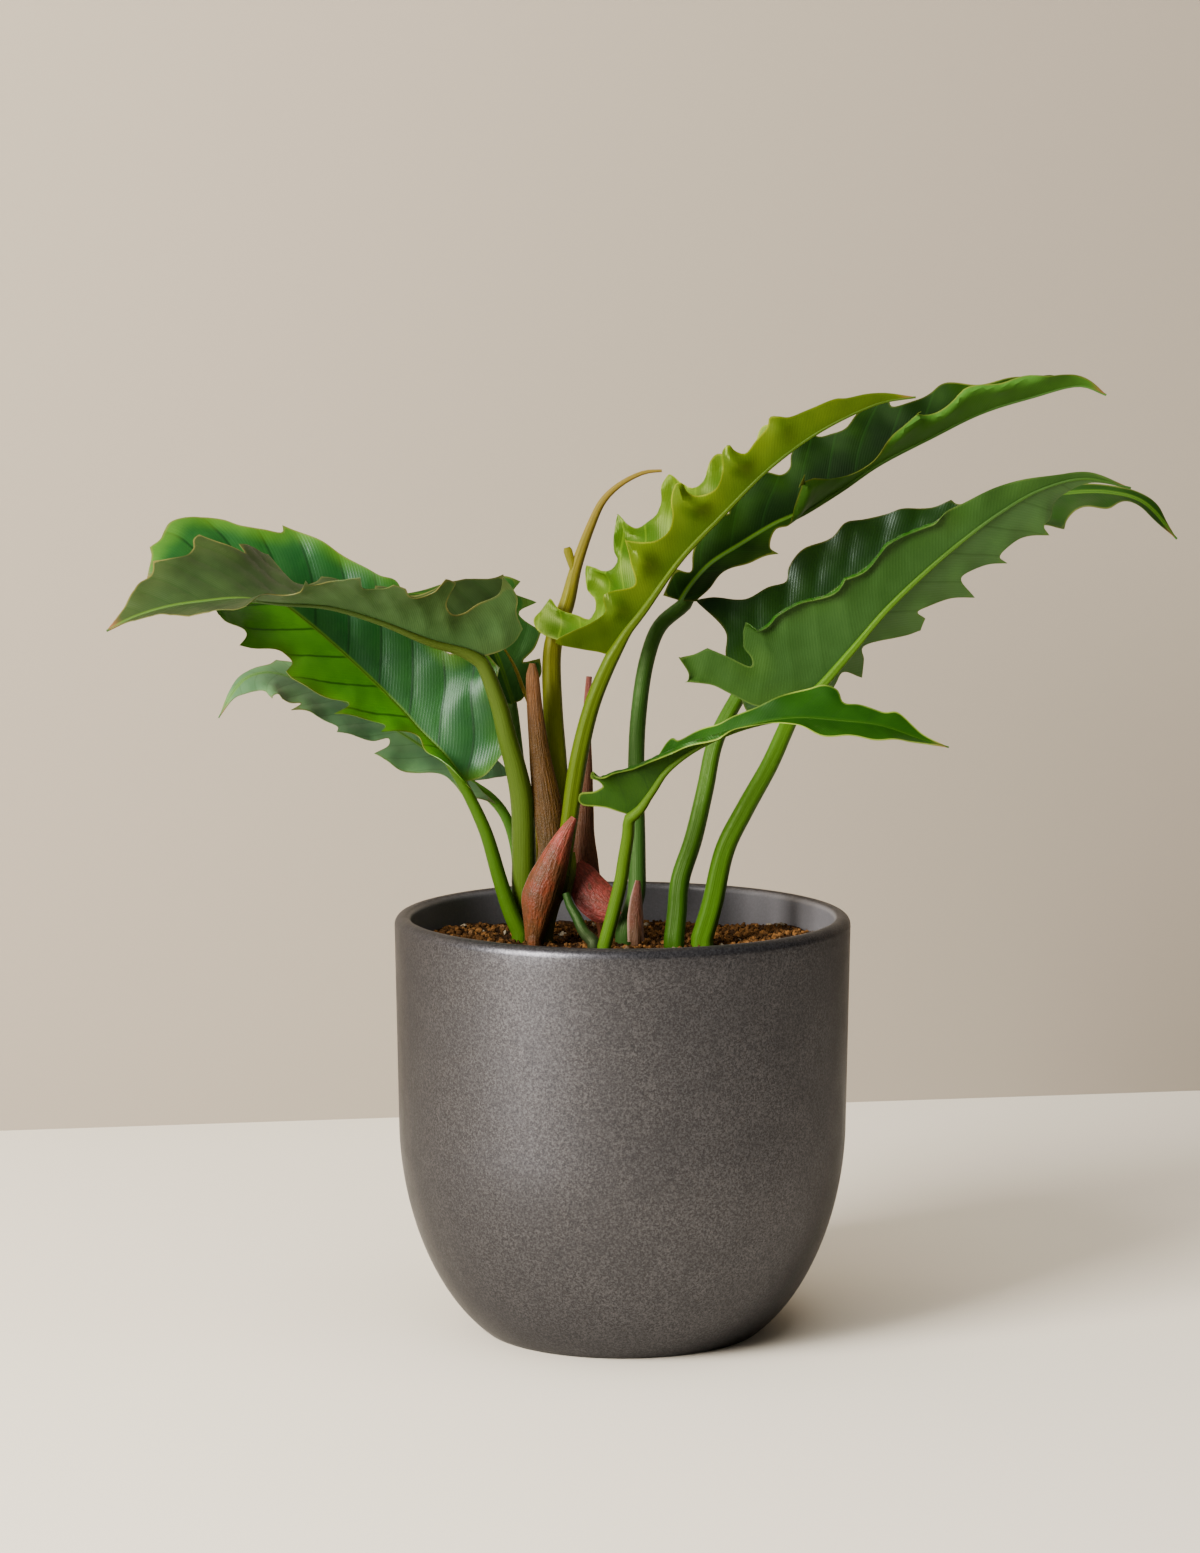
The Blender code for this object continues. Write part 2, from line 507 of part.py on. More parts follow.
def finish(ob, colour, roughness, metallic=0.0):
    """The object with its own material, shaded smooth except at its sharp edges."""
    ob.data.materials.clear()
    ob.data.materials.append(material(ob.name, colour, roughness, metallic))
    ob.data.shade_smooth()
    ob.data.set_sharp_from_angle(angle=SHARP_ANGLE)
    return ob


def foot_points(foot):
    """The straight buried end of a stalk, which stands in a plain hole."""
    x, y = foot
    return [(x, y, SOIL_FOOT), (x, y, SOIL_TOP + 1.0), (x, y, SOIL_TOP + 4.0)]


def spaced(path, spacing):
    """The path read again at even distances."""
    steps = np.linalg.norm(np.diff(path, axis=0), axis=1)
    distance = np.concatenate([[0.0], np.cumsum(steps)])
    stops = np.linspace(0.0, distance[-1], max(2, round(distance[-1] / spacing) + 1))
    return np.stack([np.interp(stops, distance, path[:, k]) for k in range(3)], -1)


def leaf_stalk_path(stalk, rib, roll, radii):
    """The stalk and, under the blade, the midrib: its points and radii."""
    stops = np.linspace(0.0, rib.length + TIP_OVER, round(rib.length / RIB_STEP))
    tapers = (radii[2], radii[2] * 0.7, RIB_MIDDLE, RIB_TIP)
    rib_radii = np.interp(stops / rib.length, (0.0, 0.12, 0.5, 1.0), tapers)
    _, top = cross_frame(rib, stops, soft(roll, stops / rib.length))
    under = rib.point(stops) - top * (rib_radii - RIB_TIP + 0.2)[:, None]
    upper = smooth_path(list(stalk[2:]) + [tuple(under[0]), tuple(under[1])])
    upper = spaced(upper[:-8], STALK_STEP)
    path = np.vstack([stalk[:2], upper, under[1:]])
    share = np.linspace(0.0, 1.0, len(upper) + 2)
    stalk_radii = np.interp(share, (0.0, 0.5, 1.0), radii)
    stalk_radii[:3] = radii[0]
    return path, np.concatenate([stalk_radii, rib_radii[1:]])


def leaf(name, form):
    """One leaf: a stalk that runs on as the midrib, and the two halves of its blade."""
    rib = Rib(form["rib"])
    foot = form["stalk"][0]
    stalk = raised_foot(foot, CROWN_TOP + GAP) if form.get("stands") else foot_points(foot)
    stalk += form["stalk"][1:]
    path, radii = leaf_stalk_path(stalk, rib, form["roll"], form["radius"])
    body = tube(name, path, radii)
    halves = []
    for side, half in ((-1, "left"), (1, "right")):
        flat, faces = flat_half(form[half], rib.length, SPACING)
        curl = form.get(half + "_curl", [(0, 0), (1, 0)])
        points = blade_point(rib, form["roll"], form[half + "_fold"], curl, side, flat[:, 0], flat[:, 1])
        halves.append(solidified(mesh_object(name + "_" + half, points, faces), BLADE))
    return finish(joined(body, halves), form["colour"], 0.4)


def raised_foot(foot, bottom):
    """The end of a stalk that stands on the crown."""
    return [(foot[0], foot[1], bottom), (foot[0], foot[1], bottom + 1.0), (foot[0], foot[1], bottom + 2.0)]


def strip(name, form):
    """One strip of a sheath: a sheet that bends back from its spine like a gutter."""
    rib = Rib(form["spine"])
    face = np.array(form["face"], float)
    turn = math.radians(form["turn"])
    points = []
    for share in np.linspace(0.0, 1.0, STRIP_ROWS):
        width = soft(form["width"], share)
        along = rib.tangent(share * rib.length)
        out = face - (face @ along) * along
        out /= np.linalg.norm(out)
        across = np.cross(along, out)
        bend = width / math.sin(turn)
        for column in np.linspace(-turn, turn, STRIP_COLUMNS):
            back = bend * (math.cos(column) - 1.0)
            points.append(rib.point(share * rib.length) + across * bend * math.sin(column) + out * back)
    faces = []
    for row in range(STRIP_ROWS - 1):
        for column in range(STRIP_COLUMNS - 1):
            near = row * STRIP_COLUMNS + column
            far = near + STRIP_COLUMNS
            faces.append((near, near + 1, far + 1))
            faces.append((near, far + 1, far))
    return solidified(mesh_object(name, points, faces), SHEATH_WALL)


def sheath(name, form):
    """A papery sheath: its strips, joined by a foot."""
    foot = form["foot"]
    if form.get("stands"):
        start = raised_foot(foot[0], CROWN_TOP + GAP)[:2]
    else:
        start = foot_points(foot[0])[:2]
    body = tube(name, start + foot[1:], form["foot_radii"])
    strips = [strip(name + "_strip", shape) for shape in form["strips"]]
    return finish(joined(body, strips), form["colour"], 0.5)


def pot_profile():
    """The outer profile from the lip to the base, as (radius, height)."""
    points = []
    for angle in (90, 60, 30, 0):
        a = math.radians(angle)
        across = POT_RADIUS - LIP_ROUNDING + LIP_ROUNDING * math.cos(a)
        points.append((across, POT_HEIGHT - LIP_ROUNDING + LIP_ROUNDING * math.sin(a)))
    for share in (0.33, 0.67, 1.0):
        drop = LIP_ROUNDING + share * (WALL_END - LIP_ROUNDING)
        points.append((POT_RADIUS + share * (WALL_RADIUS - POT_RADIUS), POT_HEIGHT - drop))
    power = 2.0 / BELLY_POWER
    for a in np.linspace(0.0, BELLY_ANGLE, 8)[1:]:
        across = BELLY_CENTRE + (WALL_RADIUS - BELLY_CENTRE) * math.cos(a) ** power
        drop = (POT_HEIGHT - WALL_END) * math.sin(a) ** power / math.sin(BELLY_ANGLE) ** power
        points.append((across, POT_HEIGHT - WALL_END - drop))
    return points


def inner_profile(wall):
    """The inside of the pot, from the lip to the middle of its floor, at this wall thickness."""
    floor = FLOOR + (wall - WALL)
    inner = []
    for across, height in pot_profile()[3:]:
        if height > floor + 6.0:
            inner.append((across - wall, height))
    across, height = inner[-1]
    return inner + [(across - 8.0, floor + 1.5), (across - 16.0, floor)]


def turned(name, profile, sides=POT_SIDES):
    """A body turned round the Z axis from a profile that starts and ends on the axis."""
    points = []
    faces = []
    rings = profile[1:-1]
    for across, height in rings:
        for k in range(sides):
            angle = 2.0 * math.pi * k / sides
            points.append((across * math.cos(angle), across * math.sin(angle), height))
    for ring in range(len(rings) - 1):
        for k in range(sides):
            near = ring * sides
            after = (k + 1) % sides
            faces.append((near + k, near + after, near + sides + after, near + sides + k))
    for end, start in ((profile[0], 0), (profile[-1], (len(rings) - 1) * sides)):
        points.append((0.0, 0.0, end[1]))
        middle = len(points) - 1
        for k in range(sides):
            faces.append((start + k, start + (k + 1) % sides, middle))
    return faced_out(mesh_object(name, points, faces))


def pot():
    outer = pot_profile()
    inner = inner_profile(WALL)
    lip = []
    for angle in (60, 30, 0):
        a = math.radians(angle)
        across = POT_RADIUS - WALL + LIP_ROUNDING * 0.7 * (1.0 - math.cos(a))
        lip.append((across, POT_HEIGHT - LIP_ROUNDING * 0.7 * (1.0 - math.sin(a))))
    profile = [(0.0, outer[-1][1])] + outer[::-1] + lip + inner + [(0.0, inner[-1][1])]
    return finish(turned("pot", profile), (0.11, 0.10, 0.095), 0.45, 0.5)


def soil(holes):
    """The fill, gently uneven on top, with a plain hole for each buried stalk."""
    inner = [p for p in inner_profile(WALL + POT_GAP) if p[1] < SOIL_TOP - 2.0]
    rim = POT_RADIUS - WALL - POT_GAP - 0.2
    top = [(0.0, SOIL_TOP)] + [(share * rim, SOIL_TOP) for share in (0.35, 0.7)]
    profile = top + [(rim, SOIL_TOP - 1.2)] + inner + [(0.0, inner[-1][1])]
    body = turned("soil", profile)
    cutters = []
    for x, y, radius in holes:
        path = [(x, y, SOIL_FOOT - GAP), (x, y, SOIL_TOP + 9.0)]
        cutters.append(tube("hole", path, (radius, radius), HOLE_SIDES))
    holder = collected(cutters)
    cut = body.modifiers.new("Holes", "BOOLEAN")
    cut.operation = "DIFFERENCE"
    cut.operand_type = "COLLECTION"
    cut.collection = holder
    cut.solver = "EXACT"
    baked(body)
    for ob in cutters:
        bpy.data.objects.remove(ob)
    bpy.data.collections.remove(holder)
    return finish(body, (0.09, 0.05, 0.025), 0.95)


def crown_holes():
    """Every buried stalk's place and the radius of its hole."""
    single = [(CROWN_PATH, CROWN_RADII), (STUB_PATH, STUB_RADII), (SHOOT_PATH, SHOOT_RADII)]
    holes = [(*path[0], radii[0]) for path, radii in single]
    for form in LEAVES.values():
        if not form.get("stands"):
            holes.append((*form["stalk"][0], form["radius"][0]))
    for form in SHEATHS.values():
        if not form.get("stands"):
            holes.append((*form["foot"][0], form["foot_radii"][0]))
    corner = 1.0 / math.cos(math.pi / HOLE_SIDES)
    return [(x, y, (radius + GAP) * corner) for x, y, radius in holes]


def main():
    for ob in list(bpy.data.objects):
        bpy.data.objects.remove(ob)
    pot()
    soil(crown_holes())
    stem = foot_points(CROWN_PATH[0])[:2] + CROWN_PATH[1:]
    finish(tube("crown_stem", stem, CROWN_RADII, HOLE_SIDES), (0.12, 0.10, 0.02), 0.6)
    for name, form in LEAVES.items():
        leaf(name, form)
    spear = raised_foot(ROLLED_PATH[0], CROWN_TOP + GAP)[:2] + ROLLED_PATH[1:]
    finish(tube("leaf_rolled", spear, ROLLED_RADII, ROUND_SIDES), (0.25, 0.26, 0.03), 0.4)
    stub = foot_points(STUB_PATH[0])[:2] + STUB_PATH[1:]
    finish(tube("petiole_stub", stub, STUB_RADII, ROUND_SIDES), (0.03, 0.12, 0.05), 0.5)
    shoot = foot_points(SHOOT_PATH[0])[:2] + SHOOT_PATH[1:]
    finish(tube("shoot_tip", shoot, SHOOT_RADII), (0.40, 0.33, 0.04), 0.5)
    for name, form in SHEATHS.items():
        sheath(name, form)


main()
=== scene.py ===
# %% [markdown]
# # A potted philodendron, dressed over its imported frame
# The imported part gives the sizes, places and names. This lesson remakes each piece with a finer mesh and
# gives it its look: glazed stoneware, coarse soil, leathery leaves with veins, and papery leaf sheaths.
# Lengths are in millimetres until a mesh is made, as in the part's own source. +X is right in the
# photograph, +Y is away from the camera and +Z is up. Colours are in ten-thousandths of full brightness.

import json
import math

import bpy
import numpy as np
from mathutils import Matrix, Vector
from mathutils.geometry import delaunay_2d_cdt

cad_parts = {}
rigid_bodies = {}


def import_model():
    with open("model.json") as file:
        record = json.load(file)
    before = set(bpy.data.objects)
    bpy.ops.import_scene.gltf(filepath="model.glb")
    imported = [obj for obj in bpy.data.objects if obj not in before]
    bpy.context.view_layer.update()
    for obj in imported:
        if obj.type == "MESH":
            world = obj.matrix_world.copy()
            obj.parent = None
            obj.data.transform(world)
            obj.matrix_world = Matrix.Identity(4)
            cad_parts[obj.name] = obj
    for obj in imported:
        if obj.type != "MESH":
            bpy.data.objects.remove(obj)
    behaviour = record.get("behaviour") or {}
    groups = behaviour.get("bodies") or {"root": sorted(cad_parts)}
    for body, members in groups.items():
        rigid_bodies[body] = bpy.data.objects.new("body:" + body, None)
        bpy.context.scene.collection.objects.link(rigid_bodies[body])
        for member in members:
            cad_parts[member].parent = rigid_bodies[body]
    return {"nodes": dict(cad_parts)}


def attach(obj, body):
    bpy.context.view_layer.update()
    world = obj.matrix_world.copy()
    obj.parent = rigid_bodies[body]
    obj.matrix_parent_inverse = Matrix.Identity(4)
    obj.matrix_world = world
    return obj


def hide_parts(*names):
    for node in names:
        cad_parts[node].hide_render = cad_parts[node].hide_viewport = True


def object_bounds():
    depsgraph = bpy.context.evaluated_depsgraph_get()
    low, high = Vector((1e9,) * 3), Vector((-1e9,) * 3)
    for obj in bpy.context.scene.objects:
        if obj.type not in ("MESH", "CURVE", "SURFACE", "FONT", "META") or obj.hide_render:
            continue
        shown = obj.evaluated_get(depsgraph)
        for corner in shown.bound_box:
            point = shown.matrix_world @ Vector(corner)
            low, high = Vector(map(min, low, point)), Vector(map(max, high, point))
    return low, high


for thing in list(bpy.data.objects):
    bpy.data.objects.remove(thing)
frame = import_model()
FIRST_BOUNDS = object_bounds()
MM = 0.001
BOX_LOW = np.array(FIRST_BOUNDS[0]) / MM
BOX_HIGH = np.array(FIRST_BOUNDS[1]) / MM
print("nodes:", len(frame["nodes"]), "box in mm:", BOX_LOW.round(1), BOX_HIGH.round(1))

# %% [markdown]
# ## Helpers for shader nodes
# Each finish is a node tree. Short calls add a node, set it up and join its inputs, so that a finish reads
# as a list of steps. Its colour is painted in layers, each through a mask, as one would glaze or dye it.

# %% Node helpers
FULL_BRIGHTNESS = 10000.0


class Nodes:
    """A node tree, with short calls that add nodes, set them up and join them."""

    def __init__(self, tree):
        self.tree = tree

    def put(self, socket, value):
        """Joins an output to an input, or sets the input's value."""
        if isinstance(value, bpy.types.NodeSocket):
            self.tree.links.new(value, socket)
        else:
            socket.default_value = value

    def add(self, kind, values=None, **settings):
        """A node with its settings, whose inputs take values or the outputs of other nodes."""
        made = self.tree.nodes.new(kind)
        for name, value in settings.items():
            setattr(made, name, value)
        for key, value in (values or {}).items():
            self.put(made.inputs[key], value)
        return made

    def maths(self, operation, *terms):
        """The result of one sum on numbers or sockets."""
        return self.add("ShaderNodeMath", dict(enumerate(terms)), operation=operation).outputs[0]

    def times(self, first, second):
        """One number or socket times another."""
        return self.maths("MULTIPLY", first, second)

    def between(self, value, start, end, low=0.0, high=1.0):
        """A value eased from low to high as the input runs from start to end."""
        values = {"Value": value, "From Min": start, "From Max": end, "To Min": low, "To Max": high}
        return self.add("ShaderNodeMapRange", values, interpolation_type="SMOOTHSTEP").outputs[0]

    def mixed(self, share, *colours):
        """Two colours mixed by a share from 0 to 1."""
        made = self.add("ShaderNodeMix", {0: share}, data_type="RGBA")
        for key, colour in zip((6, 7), colours):
            if not isinstance(colour, bpy.types.NodeSocket):
                colour = (*(part / FULL_BRIGHTNESS for part in colour), 1.0)
            self.put(made.inputs[key], colour)
        return made.outputs[2]


class Group(Nodes):
    """A shader group with named inputs, which gives masks."""

    def __init__(self, name, inputs):
        super().__init__(bpy.data.node_groups.new(name, "ShaderNodeTree"))
        for title, default in inputs.items():
            kind = "NodeSocketFloat" if isinstance(default, float) else "NodeSocketVector"
            socket = self.tree.interface.new_socket(title, in_out="INPUT", socket_type=kind)
            socket.default_value = default
        self.given = self.tree.nodes.new("NodeGroupInput").outputs

    def give(self, **masks):
        """Joins masks to the group's outputs, by name."""
        for title in masks:
            self.tree.interface.new_socket(title, in_out="OUTPUT", socket_type="NodeSocketFloat")
        end = self.tree.nodes.new("NodeGroupOutput")
        for title, mask in masks.items():
            self.tree.links.new(mask, end.inputs[title])
        print(self.tree.name, len(self.tree.nodes), "nodes")


class Finish(Nodes):
    """A material whose colour is painted in layers."""

    def __init__(self, name):
        self.material = bpy.data.materials.new(name)
        self.material.use_nodes = True
        super().__init__(self.material.node_tree)
        self.shader = self.tree.nodes["Principled BSDF"]
        self.place = self.add("ShaderNodeTexCoord").outputs["Object"]

    def reading(self, name, output="Fac"):
        """One of the readings that the mesh carries."""
        return self.add("ShaderNodeAttribute", attribute_name=name).outputs[output]

    def parts(self, vector):
        """The three parts of a vector."""
        return self.add("ShaderNodeSeparateXYZ", {0: vector}).outputs

    def masks(self, group, *values):
        """The masks of a group, whose inputs are given in order."""
        return self.add("ShaderNodeGroup", dict(enumerate(values)), node_tree=group.tree).outputs

    def clouds(self, cloud_size, speck_size):
        """Clouds, specks and grain of these sizes in millimetres."""
        return self.masks(CLOUDS, self.place, cloud_size, speck_size)

    def layer(self, mask, colour, share=None):
        """Paints a colour over what is there, through a mask that may be weakened."""
        if share is not None:
            mask = self.times(mask, share)
        self.colour = self.mixed(mask, self.colour, colour)

    def bumps(self, height, strength, depth):
        """Joins a height to the shader's normal, with its depth in millimetres."""
        values = {"Height": height, "Strength": strength, "Distance": depth * MM}
        self.feed(Normal=self.add("ShaderNodeBump", values).outputs[0])

    def feed(self, **sources):
        """Joins sockets or sets values on the shader, by input names with _ for a space."""
        for name, value in sources.items():
            self.put(self.shader.inputs[name.replace("_", " ")], value)


print("node helpers ready")

# %% [markdown]
# ## Shared effects
# Real leaves, glaze and stalks share a few kinds of variation: soft clouds of lighter and darker colour,
# small specks, lengthwise fibres and the side veins of a blade. Each is a group that gives plain masks.

# %% Group: clouds and specks
SOFT_EDGES = (0.35, 0.65)
GRAIN_EDGES = (0.38, 0.68)
SPECK_EDGES = (0.32, 0.18)
NOWHERE = (0.0, 0.0, 0.0)

CLOUDS = Group("Clouds and specks", {"Place": NOWHERE, "Cloud size": 30.0, "Speck size": 1.0})
place, cloud_size, speck_size = list(CLOUDS.given)[:3]
cloud_scale = CLOUDS.maths("DIVIDE", 1.0 / MM, cloud_size)
speck_scale = CLOUDS.maths("DIVIDE", 1.0 / MM, speck_size)
clouds = CLOUDS.add("ShaderNodeTexNoise", {"Vector": place, "Scale": cloud_scale, "Detail": 3.0})
specks = CLOUDS.add("ShaderNodeTexNoise", {"Vector": place, "Scale": speck_scale, "Detail": 2.0})
cells = CLOUDS.add("ShaderNodeTexVoronoi", {"Vector": place, "Scale": speck_scale})
CLOUDS.give(
    Cloud=CLOUDS.between(clouds.outputs[0], *SOFT_EDGES),
    Speck=CLOUDS.between(cells.outputs["Distance"], *SPECK_EDGES),
    Grain=CLOUDS.between(specks.outputs[0], *GRAIN_EDGES),
)

# %% Group: side veins of a blade
VEIN_LEAN = 0.75
VEIN_SWEEP = 0.006
FINE_VEINS = 11.0
VEIN_EDGES = (0.07, 0.0)
FINE_EDGES = (0.3, 0.0)
RIB_EDGES = (1.6, 0.5)
HALF = 0.5

VEINS = Group("Side veins", {"Along": 0.0, "Out": 0.0, "Spacing": 12.0})
along, out, spacing = list(VEINS.given)[:3]
out = VEINS.maths("ABSOLUTE", out)
sweep = VEINS.times(VEINS.times(out, out), VEIN_SWEEP)
phase = VEINS.maths("SUBTRACT", along, VEINS.times(out, VEIN_LEAN))
phase = VEINS.maths("DIVIDE", VEINS.maths("SUBTRACT", phase, sweep), spacing)
VEINS.give(
    Vein=VEINS.between(VEINS.maths("PINGPONG", phase, HALF), *VEIN_EDGES),
    Fine=VEINS.between(VEINS.maths("PINGPONG", VEINS.times(phase, FINE_VEINS), HALF), *FINE_EDGES),
    Rib=VEINS.between(out, *RIB_EDGES),
)

# %% Group: lengthwise fibres
FIBRE_STRETCH = 0.004
FIBRE_COUNT = 9.0

FIBRES = Group("Lengthwise fibres", {"Across": NOWHERE, "Along": 0.0, "Count": FIBRE_COUNT})
across, along, count = list(FIBRES.given)[:3]
flat = FIBRES.add("ShaderNodeVectorMath", {0: across, 1: (1.0, 1.0, 0.0)}, operation="MULTIPLY").outputs[0]
lift = FIBRES.add("ShaderNodeCombineXYZ", {"Z": FIBRES.times(along, FIBRE_STRETCH)}).outputs[0]
place = FIBRES.add("ShaderNodeVectorMath", {0: flat, 1: lift}, operation="ADD").outputs[0]
noise = FIBRES.add("ShaderNodeTexNoise", {"Vector": place, "Scale": count, "Detail": 2.0})
FIBRES.give(Fibre=FIBRES.between(noise.outputs[0], *SOFT_EDGES))

# %% [markdown]
# ## Helpers for meshes
# Every grown piece is worked out as points in millimetres with numpy, then made into one mesh at the
# origin. Two readings go with each point: "spot" says where on the piece it lies, and "under" is 0 on
# the top face and 1 on the underside, so that one finish can paint both faces and the thin margin between.
# Each closed shell of a piece is a part: its points, faces, spots, under readings and finish number.

# %% Mesh helpers
SHARP = math.radians(50)
TINY = 1e-12
FULL_TURN = 2.0 * math.pi


def placed(name, data):
    """A new object in the scene."""
    made = bpy.data.objects.new(name, data)
    bpy.context.scene.collection.objects.link(made)
    return made


def mesh_piece(name, parts, *finishes):
    """A smooth mesh object from closed shells, with their readings and finishes."""
    points, cuts, spots, unders, numbers = zip(*parts)
    faces, face_finish, count = [], [], 0
    for some, cut, number in zip(points, cuts, numbers):
        faces += [tuple(int(i) + count for i in face) for face in cut]
        face_finish += [number] * len(cut)
        count += len(some)
    mesh = bpy.data.meshes.new(name)
    mesh.from_pydata((np.clip(np.vstack(points), BOX_LOW, BOX_HIGH) * MM).tolist(), [], faces)
    readings = (("spot", "FLOAT_VECTOR", "vector", spots), ("under", "FLOAT", "value", unders))
    for title, kind, key, values in readings:
        mesh.attributes.new(title, kind, "POINT").data.foreach_set(key, np.concatenate(values).ravel())
    for finish in finishes:
        mesh.materials.append(finish.material)
    mesh.polygons.foreach_set("material_index", face_finish)
    mesh.shade_smooth()
    mesh.set_sharp_from_angle(angle=SHARP)
    return placed(name, mesh)


def settle(made, node):
    """Ties a finished piece to the frame's one body and hides the node it stands for."""
    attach(made, "root")
    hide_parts(node)
    print(made.name, len(made.data.polygons), "faces")


def whole_body(points, faces):
    """A plain body as a part, with its own points as its spots."""
    return points, faces, points, np.zeros(len(points)), 0


def shell(points, faces, spots, thickness):
    """A sheet of triangles made into a closed shell, as a part."""
    a, b, c = (points[faces[:, k]] for k in range(3))
    normals = np.zeros_like(points)
    for k in range(3):
        np.add.at(normals, faces[:, k], np.cross(b - a, c - a))
    normals /= np.maximum(np.linalg.norm(normals, axis=1, keepdims=True), TINY)
    thickness = np.broadcast_to(thickness, len(points))[:, None]
    both = np.vstack([points + normals * thickness / 2.0, points - normals * thickness / 2.0])
    count = len(points)
    edges = np.concatenate([faces[:, [0, 1]], faces[:, [1, 2]], faces[:, [2, 0]]])
    _, index, uses = np.unique(np.sort(edges, axis=1), axis=0, return_inverse=True, return_counts=True)
    rim = [(b, a, a + count, b + count) for a, b in edges[uses[index.reshape(-1)] == 1].tolist()]
    whole = faces.tolist() + (faces[:, ::-1] + count).tolist() + rim
    return both, whole, np.vstack([spots, spots]), np.repeat([0.0, 1.0], count), 0


def ease(value, start, end):
    """0 before start and 1 after end, with a soft change between."""
    share = np.clip((np.asarray(value, float) - start) / (end - start), 0.0, 1.0)
    return share * share * (3.0 - 2.0 * share)


print("mesh helpers ready")

# %% [markdown]
# ## Stage, light and camera
# The pot stands on a pale floor before a plain beige wall that is turned a little, so their joint climbs to
# the right as in the photograph. Both carry painted shade that darkens them a little to the right. One
# wide soft light stands at the left front. The camera is placed by the pot's lip and foot, which are
# circles of known size.

# %% Camera
CAMERA_PLACE = (-0.009877, -1.778667, 0.460306)
CAMERA_DIP = 6.918
CAMERA_LENS = 94.995
SENSOR_WIDTH = 36.0
CLIP_END = 20.0

camera = placed("Camera", bpy.data.cameras.new("Camera"))
camera.location = CAMERA_PLACE
camera.rotation_euler = (math.radians(90.0 - CAMERA_DIP), 0.0, 0.0)
camera.data.lens = CAMERA_LENS
camera.data.sensor_width = SENSOR_WIDTH
camera.data.clip_end = CLIP_END
bpy.context.scene.camera = camera
print("camera at", CAMERA_PLACE)

# %% Wall and floor
WALL_LEFT = (-0.338, 0.413)
WALL_RIGHT = (0.347, 0.527)
WALL_ENDS = (-3.0, 4.0)
REACH = 6.0
# Painted shade: where the wall and floor start and stop darkening to the right, and by how much.
PAINTED_SHADE_FROM, PAINTED_SHADE_TO, PAINTED_SHADE_SHARE = -0.3, 0.6, 0.9
STAGE_CLOUD = 0.1


def stage_finish(name, pale, shaded_colour, size):
    """A matt finish with painted shade that darkens it a little to the right, and a faint cloud."""
    finish = Finish(name)
    cloud = finish.clouds(size, 2.0)["Cloud"]
    # Painted shade: the colour turns darker towards the right, where less light falls.
    painted_shade = finish.between(finish.parts(finish.place)[0], PAINTED_SHADE_FROM, PAINTED_SHADE_TO, 0.0, PAINTED_SHADE_SHARE)
    share = finish.maths("MULTIPLY_ADD", cloud, STAGE_CLOUD, painted_shade)
    finish.feed(Base_Color=finish.mixed(share, pale, shaded_colour), Roughness=0.9, Specular_IOR_Level=0.2)
    return finish


def see_through_behind(finish):
    """Makes the back of a sheet clear, so that the plant can be looked at from behind the wall too."""
    clear = finish.add("ShaderNodeBsdfTransparent").outputs[0]
    behind = finish.add("ShaderNodeNewGeometry").outputs["Backfacing"]
    joined = finish.add("ShaderNodeMixShader", {0: behind, 1: finish.shader.outputs[0], 2: clear})
    finish.put(finish.tree.nodes["Material Output"].inputs["Surface"], joined.outputs[0])


def stage_sheet(name, corners, finish):
    """A flat sheet of the stage."""
    mesh = bpy.data.meshes.new(name)
    mesh.from_pydata(corners, [], [(0, 1, 2, 3)])
    mesh.materials.append(finish.material)
    placed(name, mesh)


floor_finish = stage_finish("Floor", (6050, 5500, 4500), (5900, 5400, 4550), size=400.0)
wall_finish = stage_finish("Wall", (2820, 2420, 1900), (2520, 2170, 1720), size=900.0)
see_through_behind(wall_finish)
left, right = [tuple(a + (b - a) * end for a, b in zip(WALL_LEFT, WALL_RIGHT)) for end in WALL_ENDS]
stage_sheet("wall", [(*left, 0.0), (*right, 0.0), (*right, REACH), (*left, REACH)], wall_finish)
corners = [(-REACH, -REACH, 0.0), (REACH, -REACH, 0.0), (REACH, REACH, 0.0), (-REACH, REACH, 0.0)]
stage_sheet("floor", corners, floor_finish)
print("wall and floor ready")

# %% Light
LIGHT_DISTANCE = 2.4
LIGHT_AIM = Vector((0.0, 0.0, 0.2))
ROOM_COLOUR = (1.0, 0.97, 0.93, 1.0)
ROOM_STRENGTH = 0.14


def soft_light(name, azimuth, height, size, power, colour):
    """A soft light box that looks at the middle of the plant from an azimuth left of the camera."""
    light = bpy.data.lights.new(name, "AREA")
    light.shape = "RECTANGLE"
    light.size, light.size_y = size
    light.energy = power
    light.color = colour
    made = placed(name, light)
    turn, rise = math.radians(azimuth), math.radians(height)
    back = Vector((-math.sin(turn) * math.cos(rise), -math.cos(turn) * math.cos(rise), math.sin(rise)))
    made.location = LIGHT_AIM + back * LIGHT_DISTANCE
    made.rotation_mode = "QUATERNION"
    made.rotation_quaternion = (-back).to_track_quat("-Z", "Y")
    made.visible_camera = False
    return made


soft_light("Key", azimuth=48.0, height=23.0, size=(1.0, 1.6), power=285.0, colour=(1.0, 0.96, 0.91))
top = soft_light("Top", azimuth=20.0, height=78.0, size=(2.4, 2.4), power=80.0, colour=(1.0, 0.98, 0.95))
top.visible_glossy = False
world = bpy.data.worlds.new("Soft room")
bpy.context.scene.world = world
world.use_nodes = True
world.node_tree.nodes["Background"].inputs["Color"].default_value = ROOM_COLOUR
world.node_tree.nodes["Background"].inputs["Strength"].default_value = ROOM_STRENGTH
print("light ready")

# %% [markdown]
# ## Pot
# One thick stoneware pot, turned on a wheel: a rounded lip, a wall that barely narrows and a belly that
# rounds in to a flat base. It could be a cylinder with bevels, but the belly is no plain arc, so its outline
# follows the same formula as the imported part, cut finer and spun with many sides. The glaze is dark
# warm grey with pale specks and a dull metal sheen.

